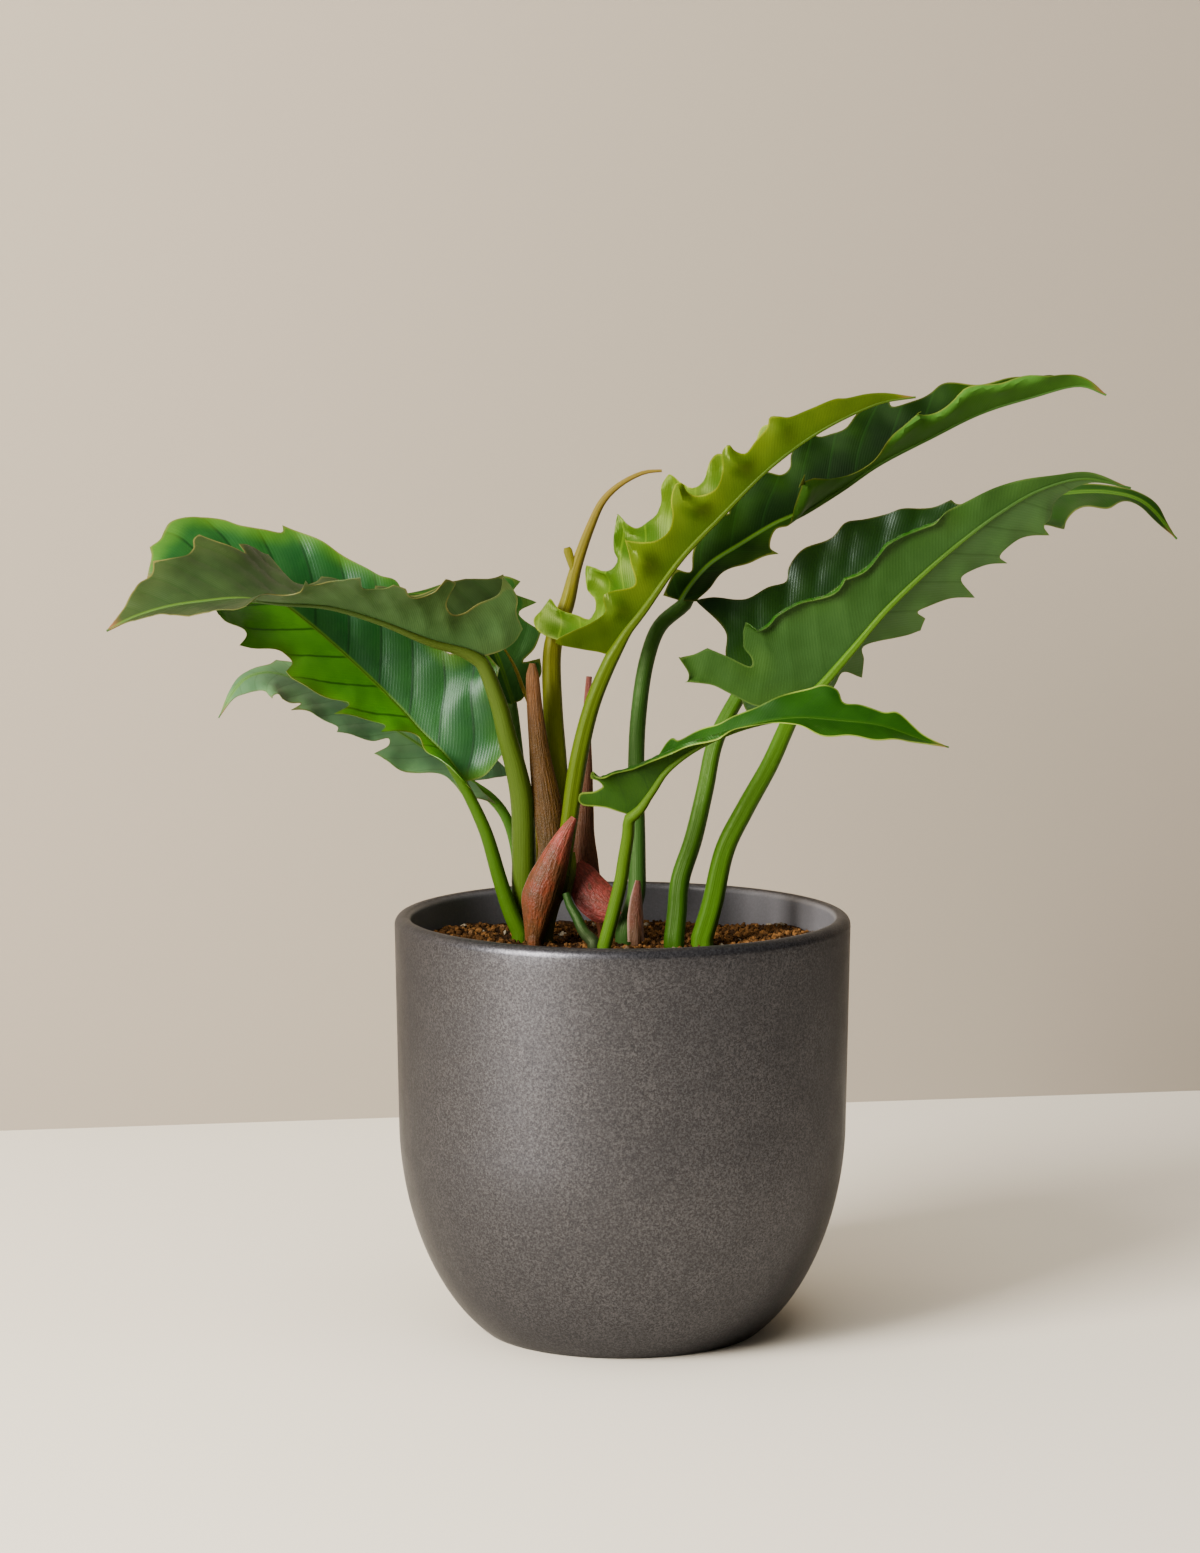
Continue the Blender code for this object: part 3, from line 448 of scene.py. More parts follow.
# %% Pot: shape
POT_RADIUS = 100.0
POT_HEIGHT = 184.0
WALL_RADIUS = 98.5
WALL_END = 91.8
BELLY_CENTRE = 39.7
BELLY_POWER = 1.9
BELLY_ANGLE = math.radians(67.1)
LIP_ROUNDING = 4.1
LIP_STEPS = 10
WALL_STEPS = 16
BELLY_STEPS = 30
INNER_ROUNDING = 2.9
INNER_STEPS = 8
WALL = 7.2
FLOOR = 11.0
FLOOR_EDGE = [(8.0, 1.5), (16.0, 0.0)]
INSIDE_END = 6.0
POT_SIDES = 192


def pot_profile():
    """The outer profile from the lip to the base, as (radius, height)."""
    points = []
    for a in np.radians(np.linspace(90.0, 0.0, LIP_STEPS)):
        across = POT_RADIUS - LIP_ROUNDING + LIP_ROUNDING * math.cos(a)
        points.append((across, POT_HEIGHT - LIP_ROUNDING + LIP_ROUNDING * math.sin(a)))
    for share in np.linspace(0.0, 1.0, WALL_STEPS)[1:]:
        drop = LIP_ROUNDING + share * (WALL_END - LIP_ROUNDING)
        points.append((POT_RADIUS + share * (WALL_RADIUS - POT_RADIUS), POT_HEIGHT - drop))
    power = 2.0 / BELLY_POWER
    for a in np.linspace(0.0, BELLY_ANGLE, BELLY_STEPS)[1:]:
        across = BELLY_CENTRE + (WALL_RADIUS - BELLY_CENTRE) * math.cos(a) ** power
        drop = (POT_HEIGHT - WALL_END) * math.sin(a) ** power / math.sin(BELLY_ANGLE) ** power
        points.append((across, POT_HEIGHT - WALL_END - drop))
    return points


def turned(profile, sides):
    """A body turned round the Z axis from a profile that runs down its outside from axis to axis."""
    angles = np.arange(sides) * FULL_TURN / sides
    circle = np.stack([np.cos(angles), np.sin(angles)], -1)
    rings = [np.column_stack([r * circle, np.full(sides, z)]) for r, z in profile[1:-1]]
    points = np.vstack(rings + [[(0.0, 0.0, profile[0][1])], [(0.0, 0.0, profile[-1][1])]])
    faces = []
    last = (len(rings) - 1) * sides
    for near in range(0, last, sides):
        for k in range(sides):
            after = (k + 1) % sides
            faces.append((near + k, near + sides + k, near + sides + after, near + after))
    for k in range(sides):
        after = (k + 1) % sides
        faces.append((k, after, last + sides))
        faces.append((last + after, last + k, last + sides + 1))
    return points, faces


lip = []
for a in np.radians(np.linspace(90.0, 0.0, INNER_STEPS))[1:]:
    across = POT_RADIUS - WALL + INNER_ROUNDING * (1.0 - math.cos(a))
    lip.append((across, POT_HEIGHT - INNER_ROUNDING * (1.0 - math.sin(a))))
outside = pot_profile()
inside = [(r - WALL, z) for r, z in outside[LIP_STEPS - 1 :] if z > FLOOR + INSIDE_END]
inside += [(inside[-1][0] - step, FLOOR + rise) for step, rise in FLOOR_EDGE]
profile = [(0.0, FLOOR)] + inside[::-1] + lip[::-1] + outside + [(0.0, outside[-1][1])]
print("pot profile", len(profile), "points")

# %% Pot: glaze
GLAZE_DARK, GLAZE_PALE, GLAZE_CLOUD = (340, 335, 375), (1040, 1020, 1100), (420, 410, 440)
INNER_GLAZE = (1000, 960, 1000)
INNER_RADII = (0.0945, 0.0930)
INNER_HEIGHTS = (0.150, 0.160)
INNER_SHARE = 0.7
METAL = 0.9
COARSE_SIZES, SMALL_SIZES = (16.0, 1.1), (5.0, 0.5)

glaze = Finish("Speckled glaze")
coarse, small = glaze.clouds(*COARSE_SIZES), glaze.clouds(*SMALL_SIZES)
grain = glaze.maths("MULTIPLY_ADD", coarse["Grain"], HALF, glaze.times(small["Grain"], HALF))
x, y, z = glaze.parts(glaze.place)
radius = glaze.maths("SQRT", glaze.maths("MULTIPLY_ADD", x, x, glaze.times(y, y)))
within = glaze.times(glaze.between(radius, *INNER_RADII), glaze.between(z, *INNER_HEIGHTS))
glaze.colour = glaze.mixed(grain, GLAZE_DARK, GLAZE_PALE)
glaze.layer(coarse["Cloud"], GLAZE_CLOUD, share=0.22)
glaze.layer(within, INNER_GLAZE, INNER_SHARE)
glaze.feed(
    Base_Color=glaze.colour,
    Metallic=glaze.maths("MULTIPLY_ADD", within, -INNER_SHARE, METAL),
    Roughness=glaze.between(coarse["Cloud"], 0.0, 1.0, low=0.35, high=0.39),
    Specular_IOR_Level=0.3,
    Specular_Tint=(0.6, 0.6, 0.6, 1.0),
)
glaze.bumps(grain, strength=0.12, depth=0.08)
settle(mesh_piece("pot_glazed", [whole_body(*turned(profile, POT_SIDES))], glaze), "pot")

# %% [markdown]
# ## Soil
# A coarse brown mix of bark and grit fills the pot to just under its lip. A flat brown disc would look
# like felt, so the bed is uneven, a little higher at its left and right ends, and carries thousands of small
# chips. Geometry Nodes scatters them, because they repeat: each has its own size, turn and tone, from a
# fixed seed.

# %% Soil: bed
SOIL_TOP = 167.0
SOIL_RIM = 91.9
SOIL_FOOT = [(SOIL_RIM - 1.4, 140.0), (0.0, 138.0)]
BED_REACH = 88.5
BED_SIDES = 120
BED_RINGS = 58
BED_START = 1.5
RIM_START = 84.0
BED_WAVES = ((31.0, 0.4, 0.8), (17.0, 1.7, 0.5), (9.0, 2.6, 0.45), (5.3, 0.9, 0.35))
BANK_HEIGHT = 4.5
BANK_EDGES = (42.0, 80.0)
BED_SINK = 0.3


def bed_height(x, y):
    """A gently uneven surface from a few crossed waves."""
    waves = 0.0
    for size, turn, height in BED_WAVES:
        across = x * math.cos(turn) + y * math.sin(turn)
        over = y * math.cos(turn) - x * math.sin(turn)
        waves = waves + height * np.sin(across * FULL_TURN / size) * np.cos(over * FULL_TURN / size)
    return waves


bed_radii = np.linspace(BED_START, SOIL_RIM, BED_RINGS)
bed_profile = [(0.0, SOIL_TOP)] + [(r, SOIL_TOP) for r in bed_radii] + SOIL_FOOT
bed_points, bed_faces = turned(bed_profile, BED_SIDES)
bed_radius = np.hypot(bed_points[:, 0], bed_points[:, 1])
upper = bed_points[:, 2] > SOIL_TOP - 1.0
banked = BANK_HEIGHT * ease(np.abs(bed_points[:, 0]), *BANK_EDGES)
waves = bed_height(bed_points[:, 0], bed_points[:, 1])
lift = waves + banked - ease(bed_radius, RIM_START, SOIL_RIM) - BED_SINK
bed_points[:, 2] += np.where(upper, lift, 0.0)
print("bed", len(bed_points), "points")

# %% Soil: finish
SOIL_DARK, SOIL_BROWN, GRAIN_DARK = (120, 55, 20), (500, 220, 60), (120, 60, 20)
CHIP_PALE, CHIP_WHITE = (1050, 460, 120), (1500, 1250, 850)
BROWN_TONES = (0.1, 0.6)
PALE_TONES = (0.76, 0.86)
WHITE_TONES = (0.985, 0.995)
SOIL_SIZES = (14.0, 1.3)

soil_finish = Finish("Coarse soil")
tone = soil_finish.reading("tone")
grain = soil_finish.clouds(*SOIL_SIZES)["Grain"]
soil_finish.colour = soil_finish.mixed(soil_finish.between(tone, *BROWN_TONES), SOIL_DARK, SOIL_BROWN)
soil_finish.layer(soil_finish.between(tone, *PALE_TONES), CHIP_PALE)
soil_finish.layer(soil_finish.between(tone, *WHITE_TONES), CHIP_WHITE)
soil_finish.layer(grain, GRAIN_DARK, share=0.55)
soil_finish.feed(Base_Color=soil_finish.colour, Roughness=0.95, Specular_IOR_Level=0.05)
soil_finish.bumps(grain, strength=0.7, depth=0.5)
print("soil finish ready")

# %% Soil: scattered chips
CHIPS_PER_M2 = 190000.0
CHIP_SIZES = (0.7, 2.0)
CHIP_SEED = 7
LEAST_STRETCH = (0.6, 0.6, 0.45)
MOST_STRETCH = (1.35, 1.1, 0.9)
BED_TONE = 0.2

chips = Nodes(bpy.data.node_groups.new("Scattered chips", "GeometryNodeTree"))
sockets = {}
for title, kind, default in (
    ("Geometry", "Geometry", None),
    ("Chips per m2", "Float", CHIPS_PER_M2),
    ("Smallest", "Float", CHIP_SIZES[0] * MM),
    ("Largest", "Float", CHIP_SIZES[1] * MM),
    ("Seed", "Int", CHIP_SEED),
    ("Finish", "Material", None),
):
    socket = chips.tree.interface.new_socket(title, in_out="INPUT", socket_type="NodeSocket" + kind)
    if default is not None:
        socket.default_value = default
    sockets[title] = socket.identifier
chips.tree.interface.new_socket("Geometry", in_out="OUTPUT", socket_type="NodeSocketGeometry")
given = chips.tree.nodes.new("NodeGroupInput").outputs


def drawn(kind, values):
    """A random draw for each chip, from the fixed seed."""
    return chips.add("FunctionNodeRandomValue", {"Seed": given["Seed"], **values}, data_type=kind).outputs


where = chips.add("GeometryNodeInputNamedAttribute", {"Name": "bed"}, data_type="FLOAT").outputs[0]
density = chips.times(given["Chips per m2"], where)
spread = chips.add("GeometryNodeDistributePointsOnFaces",
                   {"Mesh": given["Geometry"], "Density": density, "Seed": given["Seed"]})
grit = chips.add("GeometryNodeMeshIcoSphere", {"Radius": 1.0, "Subdivisions": 1})
turn = drawn("FLOAT_VECTOR", {1: (FULL_TURN,) * 3})[0]
size = drawn("FLOAT", {2: given["Smallest"], 3: given["Largest"]})[1]
stretch = drawn("FLOAT_VECTOR", {0: LEAST_STRETCH, 1: MOST_STRETCH})[0]
sized = chips.add("ShaderNodeVectorMath", {0: stretch, "Scale": size}, operation="SCALE").outputs[0]
laid = chips.add("GeometryNodeInstanceOnPoints", {
    "Points": spread.outputs["Points"], "Instance": grit.outputs["Mesh"], "Rotation": turn, "Scale": sized,
})
toned = chips.add("GeometryNodeStoreNamedAttribute",
                  {"Geometry": laid.outputs[0], "Name": "tone", "Value": drawn("FLOAT", {})[1]},
                  data_type="FLOAT", domain="INSTANCE")
both = chips.add("GeometryNodeJoinGeometry")
for source in (toned.outputs[0], given["Geometry"]):
    chips.tree.links.new(source, both.inputs[0])
real = chips.add("GeometryNodeRealizeInstances", {"Geometry": both.outputs[0]})
painted = chips.add("GeometryNodeSetMaterial", {"Geometry": real.outputs[0], "Material": given["Finish"]})
chips.tree.links.new(painted.outputs[0], chips.tree.nodes.new("NodeGroupOutput").inputs[0])
print(chips.tree.name, len(chips.tree.nodes), "nodes")

# %% Soil: bed and chips as one piece
soil = mesh_piece("soil_coarse", [whole_body(bed_points, bed_faces)], soil_finish)
on_bed = (upper & (bed_radius < BED_REACH)).astype(float)
for title, values in (("bed", on_bed), ("tone", np.full(len(bed_points), BED_TONE))):
    soil.data.attributes.new(title, "FLOAT", "POINT").data.foreach_set("value", values)
scatter = soil.modifiers.new("Chips", "NODES")
scatter.node_group = chips.tree
scatter[sockets["Chips per m2"]] = CHIPS_PER_M2
scatter[sockets["Seed"]] = CHIP_SEED
scatter[sockets["Finish"]] = soil_finish.material
plain = bpy.data.meshes.new_from_object(soil.evaluated_get(bpy.context.evaluated_depsgraph_get()))
soil.modifiers.clear()
soil.data = plain
settle(soil, "soil")

# %% [markdown]
# ## Leaves: the measured shapes
# Each leaf is one grown piece: a round stalk that runs on as the midrib, and a lobed blade in two halves
# that fold up or down from it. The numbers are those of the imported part: the stalk's and midrib's routes,
# how the blade rolls and folds along its length, and each half's margin as (along the midrib, out from it).

# %% Leaf table
LEAVES = {
    "leaf_left_arching": {
        "stalk": [(-38.5, 36.5), (-43.4, 33, 185), (-43.7, 29, 208), (-44.5, 25, 231), (-47.5, 22, 247),
            (-50.5, 20, 258), (-55, 17, 276)],
        "radius": (5.6, 5.2, 3.2),
        "rib": [(-61, 14, 296), (-67, 12, 299), (-84, 6, 304), (-105, -3, 313), (-127, -11, 320),
            (-148, -18, 322), (-165, -22, 324), (-179, -25, 323), (-194, -28, 321), (-208, -30, 317),
            (-221, -31, 311)],
        "roll": [(0, -8), (0.3, 0), (0.55, 3), (0.7, 20), (1, 25)],
        "left_fold": [(0, 62), (0.12, 52), (0.3, 34), (0.5, 28), (0.57, 26), (0.66, 16), (1, 18)],
        "right_fold": [(0, 66), (0.12, 60), (0.3, 30), (0.5, 22), (0.65, 20), (1, 14)],
        "left": [(-5, 5), (-9, 12), (-9, 19), (-2, 25), (1, 31), (5, 35), (8, 38), (7, 29), (11, 23),
            (16, 17), (21, 16), (29, 21), (31, 30), (32, 34), (39, 36), (39, 30), (40, 26), (44, 23),
            (48, 23), (52, 28), (57, 28), (59, 24), (67, 22), (72, 32), (76, 28), (80, 24), (88, 22),
            (93, 31), (92, 17), (97, 12), (104, 14), (110, 25), (116, 33), (127, 31), (139, 25), (150, 15),
            (163, 4)],
        "right": [(-6, 14), (-8, 30), (1, 44), (5, 39), (11, 36), (14, 34), (34, 24), (50, 27), (52, 20),
            (74, 26), (77, 21), (86, 18), (90, 28), (95, 43), (106, 42), (112, 38), (110, 33), (117, 36),
            (125, 43), (128, 40), (129, 34), (134, 29), (141, 29), (146, 31), (148, 23), (154, 19), (162, 9)],
    },
    "leaf_left_glossy": {
        "stalk": [(-45.5, 26), (-49.5, 26, 180), (-54.4, 26, 195), (-61, 25.5, 217.5)],
        "radius": (3.8, 3.2, 2.4),
        "rib": [(-70, 25, 239), (-79, 26, 251), (-90, 28, 262), (-99, 29, 272), (-121, 32, 293),
            (-138, 33, 308), (-152, 32, 319), (-167, 29, 329), (-184, 24, 336), (-199, 18, 337),
            (-209, 12, 327)],
        "roll": [(0, 45), (0.15, 58), (0.6, 58), (0.8, 45), (1, 30)],
        "left_fold": [(0, 60), (0.08, 50), (0.18, 28), (0.6, 20), (1, 10)],
        "right_fold": [(0, 45), (0.1, 30), (0.3, 20), (0.6, 15), (1, 5)],
        "right_curl": [(0, 0), (0.6, 0), (0.8, 0.25), (1, 0.25)],
        "left": [(-4, 7), (1, 14), (8, 15), (20, 11), (29, 4), (41, 20), (42, 15), (54, 24), (61, 32),
            (60, 21), (68, 26), (78, 31), (86, 33), (92, 32), (93, 25), (99, 25), (114, 36), (125, 46),
            (123, 35), (134, 37), (150, 41), (156, 30), (170, 27), (177, 14), (182, 6)],
        "right": [(-3, 9), (0, 21), (7, 24), (13, 38), (17, 34), (24, 45), (43, 45), (45, 33), (48, 32),
            (52, 32), (68, 42), (72, 36), (83, 40), (89, 37), (94, 36), (106, 34), (114, 34), (123, 33),
            (129, 32), (128, 29), (134, 26), (142, 24), (148, 25), (160, 23), (164, 21), (166, 17), (168, 13),
            (171, 12), (173, 7)],
    },
    "leaf_left_low": {
        "stalk": [(-47, 41), (-47.2, 42, 184), (-47.1, 43, 201.5), (-49.8, 44, 215), (-53.4, 45, 223),
            (-59.2, 46, 229.6)],
        "radius": (2.7, 2.4, 2.2),
        "rib": [(-67, 46, 237), (-77, 48, 243), (-95, 52, 255), (-118, 55, 268), (-140, 55, 279),
            (-158, 52, 285), (-168, 48, 283), (-174, 44, 277), (-180, 40, 266)],
        "roll": [(0, 10), (0.2, 25), (0.6, 22), (0.85, 15), (1, 10)],
        "left_fold": [(0, -10), (0.2, -8), (1, -5)], "right_fold": [(0, 20), (0.2, 15), (1, 10)],
        "left": [(-8, 4), (-15, 6), (-3, 14), (11, 8), (21, 15), (30, 20), (43, 20), (40, 11), (42, 7),
            (47, 13), (58, 19), (64, 22), (65, 18), (74, 19), (86, 22), (91, 25), (87, 17), (93, 20),
            (118, 21), (114, 15), (122, 8), (127, 3)],
        "right": [(-6, 8), (-12, 18), (0, 20), (14, 22), (24, 24), (26, 19), (44, 25), (46, 18), (64, 23),
            (66, 16), (84, 19), (86, 12), (101, 12), (104, 7), (120, 3)],
    },
    "leaf_left_back": {
        "stalk": [(-40, 56), (-42.9, 56, 190.5), (-44.6, 56, 227), (-46.8, 56, 250)],
        "radius": (3.0, 2.6, 2.0),
        "rib": [(-49, 56, 271), (-52, 57, 280), (-56, 58, 291), (-62, 58, 303), (-70, 57, 312),
            (-78, 55, 318), (-93, 52, 320), (-108, 49, 318)],
        "roll": [(0, 60), (0.5, 60), (1, 50)], "left_fold": [(0, 20), (1, 10)],
        "right_fold": [(0, 20), (1, 10)],
        "left": [(-4, 7), (-6, 16), (6, 20), (8, 15), (24, 23), (26, 17), (42, 21), (44, 14), (60, 15),
            (62, 9), (76, 4)],
        "right": [(0, 4), (3, 8), (8, 16), (15, 18), (16, 10), (19, 17), (24, 23), (33, 18), (33, 28),
            (39, 22), (40, 28), (45, 24), (48, 18), (54, 12), (61, 6), (70, 2)],
    },
    "leaf_new_ruffled": {
        "stalk": [(-27, 18.5), (-25.6, 17.7, 208), (-23.4, 16.5, 223), (-21.2, 15, 239), (-18.4, 14, 255),
            (-12.9, 13, 276)],
        "radius": (3.4, 4.0, 3.2), "stands": True,
        "rib": [(-7, 12, 297), (0, 11, 307), (8, 9, 317), (25, 6, 340), (44, 3, 360), (63, 0, 379),
            (83, -3, 394), (102, -5, 404), (113, -6, 408), (126, -8, 410)],
        "roll": [(0, 0), (1, 0)], "left_fold": [(0, 60), (0.15, 68), (0.7, 70), (1, 60)],
        "right_fold": [(0, 60), (0.15, 68), (0.7, 70), (1, 60)],
        "left": [(-6, 16), (-12, 36), (-9, 43), (3, 43), (2, 36), (5, 27), (8, 19), (12, 22), (13, 30),
            (19, 39), (25, 29), (29, 26), (34, 25), (36, 29), (44, 36), (50, 39), (50, 31), (51, 27),
            (55, 25), (59, 24), (63, 26), (68, 32), (75, 33), (77, 25), (79, 20), (83, 19), (96, 22),
            (101, 14), (109, 12), (117, 17), (126, 12), (138, 10), (149, 7), (162, 5)],
        "right": [(-1, 4), (-4, 12), (-7, 24), (1, 20), (8, 15), (15, 12), (20, 17), (25, 15), (33, 9),
            (40, 17), (46, 25), (48, 21), (50, 17), (54, 13), (60, 12), (65, 15), (70, 21), (76, 25),
            (79, 23), (78, 17), (80, 13), (87, 10), (95, 14), (100, 20), (104, 20), (104, 16), (106, 12),
            (112, 13), (120, 15), (123, 18), (126, 16), (129, 13), (138, 11), (149, 10), (153, 8), (162, 6)],
    },
    "leaf_right_back": {
        "stalk": [(1, 25), (2.2, 26, 176), (6.2, 29, 188), (6.6, 31, 203), (6.2, 36, 239), (7.1, 39, 265),
            (11.1, 42, 292), (16.9, 43, 307)],
        "radius": (4.2, 3.7, 3.3),
        "rib": [(26, 44, 318), (30, 45, 324), (39, 46, 334), (53, 47, 343), (68, 47, 352), (79, 46, 357),
            (97, 44, 368), (113, 42, 379), (136, 38, 391), (158, 34, 402), (180, 30, 409), (201, 26, 414),
            (212, 24, 410)],
        "roll": [(0, -20), (0.3, -22), (0.7, -22), (1, 0)],
        "left_fold": [(0, 45), (0.3, 50), (0.7, 45), (1, 20)],
        "right_fold": [(0, -12), (0.28, -8), (0.35, 42), (0.7, 50), (1, 40)],
        "left": [(-2, 8), (10, 10), (13, 4), (21, 11), (37, 17), (40, 15), (43, 19), (58, 25), (67, 20),
            (73, 21), (77, 26), (91, 31), (92, 27), (98, 24), (104, 22), (111, 26), (119, 27), (124, 25),
            (124, 21), (136, 19), (142, 19), (149, 20), (162, 14), (184, 13), (192, 11), (196, 8), (205, 6)],
        "right": [(3, 8), (14, 11), (28, 11), (39, 16), (50, 22), (48, 15), (55, 4), (68, 18), (79, 35),
            (83, 27), (91, 11), (105, 4), (125, 19), (137, 21), (141, 15), (157, 21), (165, 20), (172, 17),
            (193, 12), (206, 6)],
    },
    "leaf_right_big": {
        "stalk": [(35.3, 12.3), (39.6, 11, 186), (45.2, 10, 211), (53.9, 9, 229), (64.7, 7.5, 249),
            (71.2, 6, 264)],
        "radius": (5.0, 4.3, 3.5),
        "rib": [(75, 5, 275), (83, 4, 281), (99, 2, 299), (114, 0, 317), (129, -2, 332), (146, -4, 347),
            (163, -6, 360), (180, -8, 370), (199, -9, 375), (219, -10, 371)],
        "roll": [(0, 62), (0.2, 68), (0.7, 68), (1, 50)], "left_fold": [(0, 25), (0.3, 18), (1, 10)],
        "right_fold": [(0, 20), (0.3, 14), (1, 10)],
        "left": [(0, 8), (8, 12), (19, 7), (25, 5), (28, 16), (35, 10), (39, 4), (46, 9), (56, 20), (61, 23),
            (67, 19), (67, 13), (81, 21), (90, 29), (92, 15), (103, 19), (112, 25), (111, 20), (114, 18),
            (123, 18), (137, 25), (137, 19), (143, 17), (147, 11), (159, 5), (168, 2)],
        "right": [(-13, 9), (-20, 21), (-24, 28), (-33, 36), (-30, 38), (-29, 47), (-23, 44), (-16, 43),
            (-11, 35), (-5, 25), (-3, 28), (-3, 34), (-1, 37), (1, 40), (5, 43), (20, 38), (26, 38), (38, 34),
            (52, 25), (57, 26), (65, 22), (73, 23), (79, 24), (95, 19), (112, 13), (126, 11), (137, 8),
            (152, 4), (166, 3)],
    },
    "leaf_right_far": {
        "stalk": [(22.9, 12.3), (24.2, 15, 182), (25.6, 18, 196), (31.4, 22, 213.5), (36.7, 27, 235),
            (41.7, 32, 257)],
        "radius": (4.6, 4.0, 3.4),
        "rib": [(52, 36, 279), (61, 38, 292), (79, 42, 310), (102, 45, 327), (124, 47, 341), (151, 48, 353),
            (177, 48, 362), (201, 46, 366), (217, 44, 366), (231, 42, 362), (246, 38, 346)],
        "roll": [(0, -50), (0.6, -50), (0.8, -45), (1, -30)], "left_fold": [(0, 25), (0.6, 20), (1, 10)],
        "right_fold": [(0, 20), (0.6, 15), (1, 5)],
        "left": [(4, 8), (10, 14), (16, 19), (18, 39), (23, 34), (31, 23), (41, 20), (48, 17), (52, 21),
            (61, 24), (75, 21), (83, 23), (90, 20), (99, 17), (105, 16), (112, 13), (118, 11), (126, 11),
            (128, 8), (150, 6), (166, 5), (191, 4), (205, 4), (215, 4), (222, 2)],
        "right": [(-6, 10), (-10, 22), (4, 24), (22, 28), (24, 21), (46, 31), (48, 22), (74, 32), (76, 22),
            (102, 30), (104, 20), (130, 28), (132, 19), (158, 24), (162, 21), (172, 24), (174, 18), (180, 12),
            (194, 11), (202, 4), (218, 4)],
    },
    "leaf_right_small": {
        "stalk": [(-8, -10), (-3.3, -11, 189), (-0.7, -12, 200.5), (0.6, -13, 209.5), (2.3, -15, 220.7)],
        "radius": (3.1, 3.0, 2.6),
        "rib": [(2, -16, 230), (6, -18, 233), (12, -21, 241), (18, -24, 250), (29, -28, 259), (42, -31, 266),
            (56, -34, 271), (74, -36, 274), (93, -38, 273), (110, -39, 271), (128, -40, 265),
            (139, -41, 262)],
        "roll": [(0, 0), (0.3, -5), (0.5, -15), (1, -20)],
        "left_fold": [(0, 50), (0.3, 45), (0.6, 45), (1, 25)],
        "right_fold": [(0, 60), (0.2, 50), (0.35, 30), (0.5, 5), (0.7, -5), (1, 5)],
        "left": [(-4, 6), (-8, 11), (-8, 14), (-4, 16), (4, 14), (18, 13), (20, 10), (36, 12), (38, 9),
            (49, 8), (57, 6), (64, 7), (75, 8), (85, 11), (95, 14), (101, 16), (107, 14), (110, 9), (117, 9),
            (127, 7), (132, 9), (145, 3)],
        "right": [(-3, 4), (-6, 8), (-10, 12), (-13, 15), (-13, 18), (-10, 20), (-5, 17), (0, 17), (0, 20),
            (-2, 23), (0, 25), (6, 25), (16, 22), (25, 14), (34, 11), (38, 10), (46, 9), (57, 7), (67, 4),
            (75, 3), (82, 4), (93, 10), (104, 15), (115, 14), (127, 13), (146, 4)],
    },
}
print(len(LEAVES), "leaves")

# %% [markdown]
# ## Leaves: curves and surface
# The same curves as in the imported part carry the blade, so the dressed leaf keeps its place. The margin is
# smoothed between its pointed lobes, because measured points joined by straight lines look cut with scissors.

# %% Curves along a leaf
TANGENT_REACH = 4.0
END_REACH = 3.0
CURVE_STEPS = 8
KEY_SPREAD = (-0.03, -0.015, 0.0, 0.015, 0.03)
LEAST_BEND = 1e-5
HALVES = {-1.0: "left", 1.0: "right"}
NO_CURL = [(0, 0), (1, 0)]


def smooth_path(points):
    """Points of a centripetal Catmull-Rom curve through the given points."""
    knots = np.array(points, float)
    knots = np.vstack([2 * knots[0] - knots[1], knots, 2 * knots[-1] - knots[-2]])
    curve = []
    for i in range(1, len(knots) - 2):
        a, b, c, d = knots[i - 1 : i + 3]
        tb = math.sqrt(np.linalg.norm(b - a))
        tc = tb + math.sqrt(np.linalg.norm(c - b))
        td = tc + math.sqrt(np.linalg.norm(d - c))
        for t in np.linspace(tb, tc, CURVE_STEPS, endpoint=False):
            ab = ((tb - t) * a + t * b) / tb
            bc = ((tc - t) * b + (t - tb) * c) / (tc - tb)
            cd = ((td - t) * c + (t - tc) * d) / (td - tc)
            abc = ((tc - t) * ab + t * bc) / tc
            bcd = ((td - t) * bc + (t - tb) * cd) / (td - tb)
            curve.append(((tc - t) * abc + (t - tb) * bcd) / (tc - tb))
    curve.append(knots[-2])
    return np.array(curve)


def distances(path):
    """The distance along a path at each of its points."""
    return np.concatenate([[0.0], np.cumsum(np.linalg.norm(np.diff(path, axis=0), axis=1))])


def read_at(stops, at, path):
    """A path's points at these distances along it."""
    return np.stack([np.interp(stops, at, path[:, k]) for k in range(path.shape[1])], -1)


def spaced(path, spacing):
    """The path read again at even distances."""
    at = distances(path)
    return read_at(np.linspace(0.0, at[-1], max(2, round(at[-1] / spacing) + 1)), at, path)


def unit(vectors):
    """Vectors made one long."""
    return vectors / np.linalg.norm(vectors, axis=-1, keepdims=True)


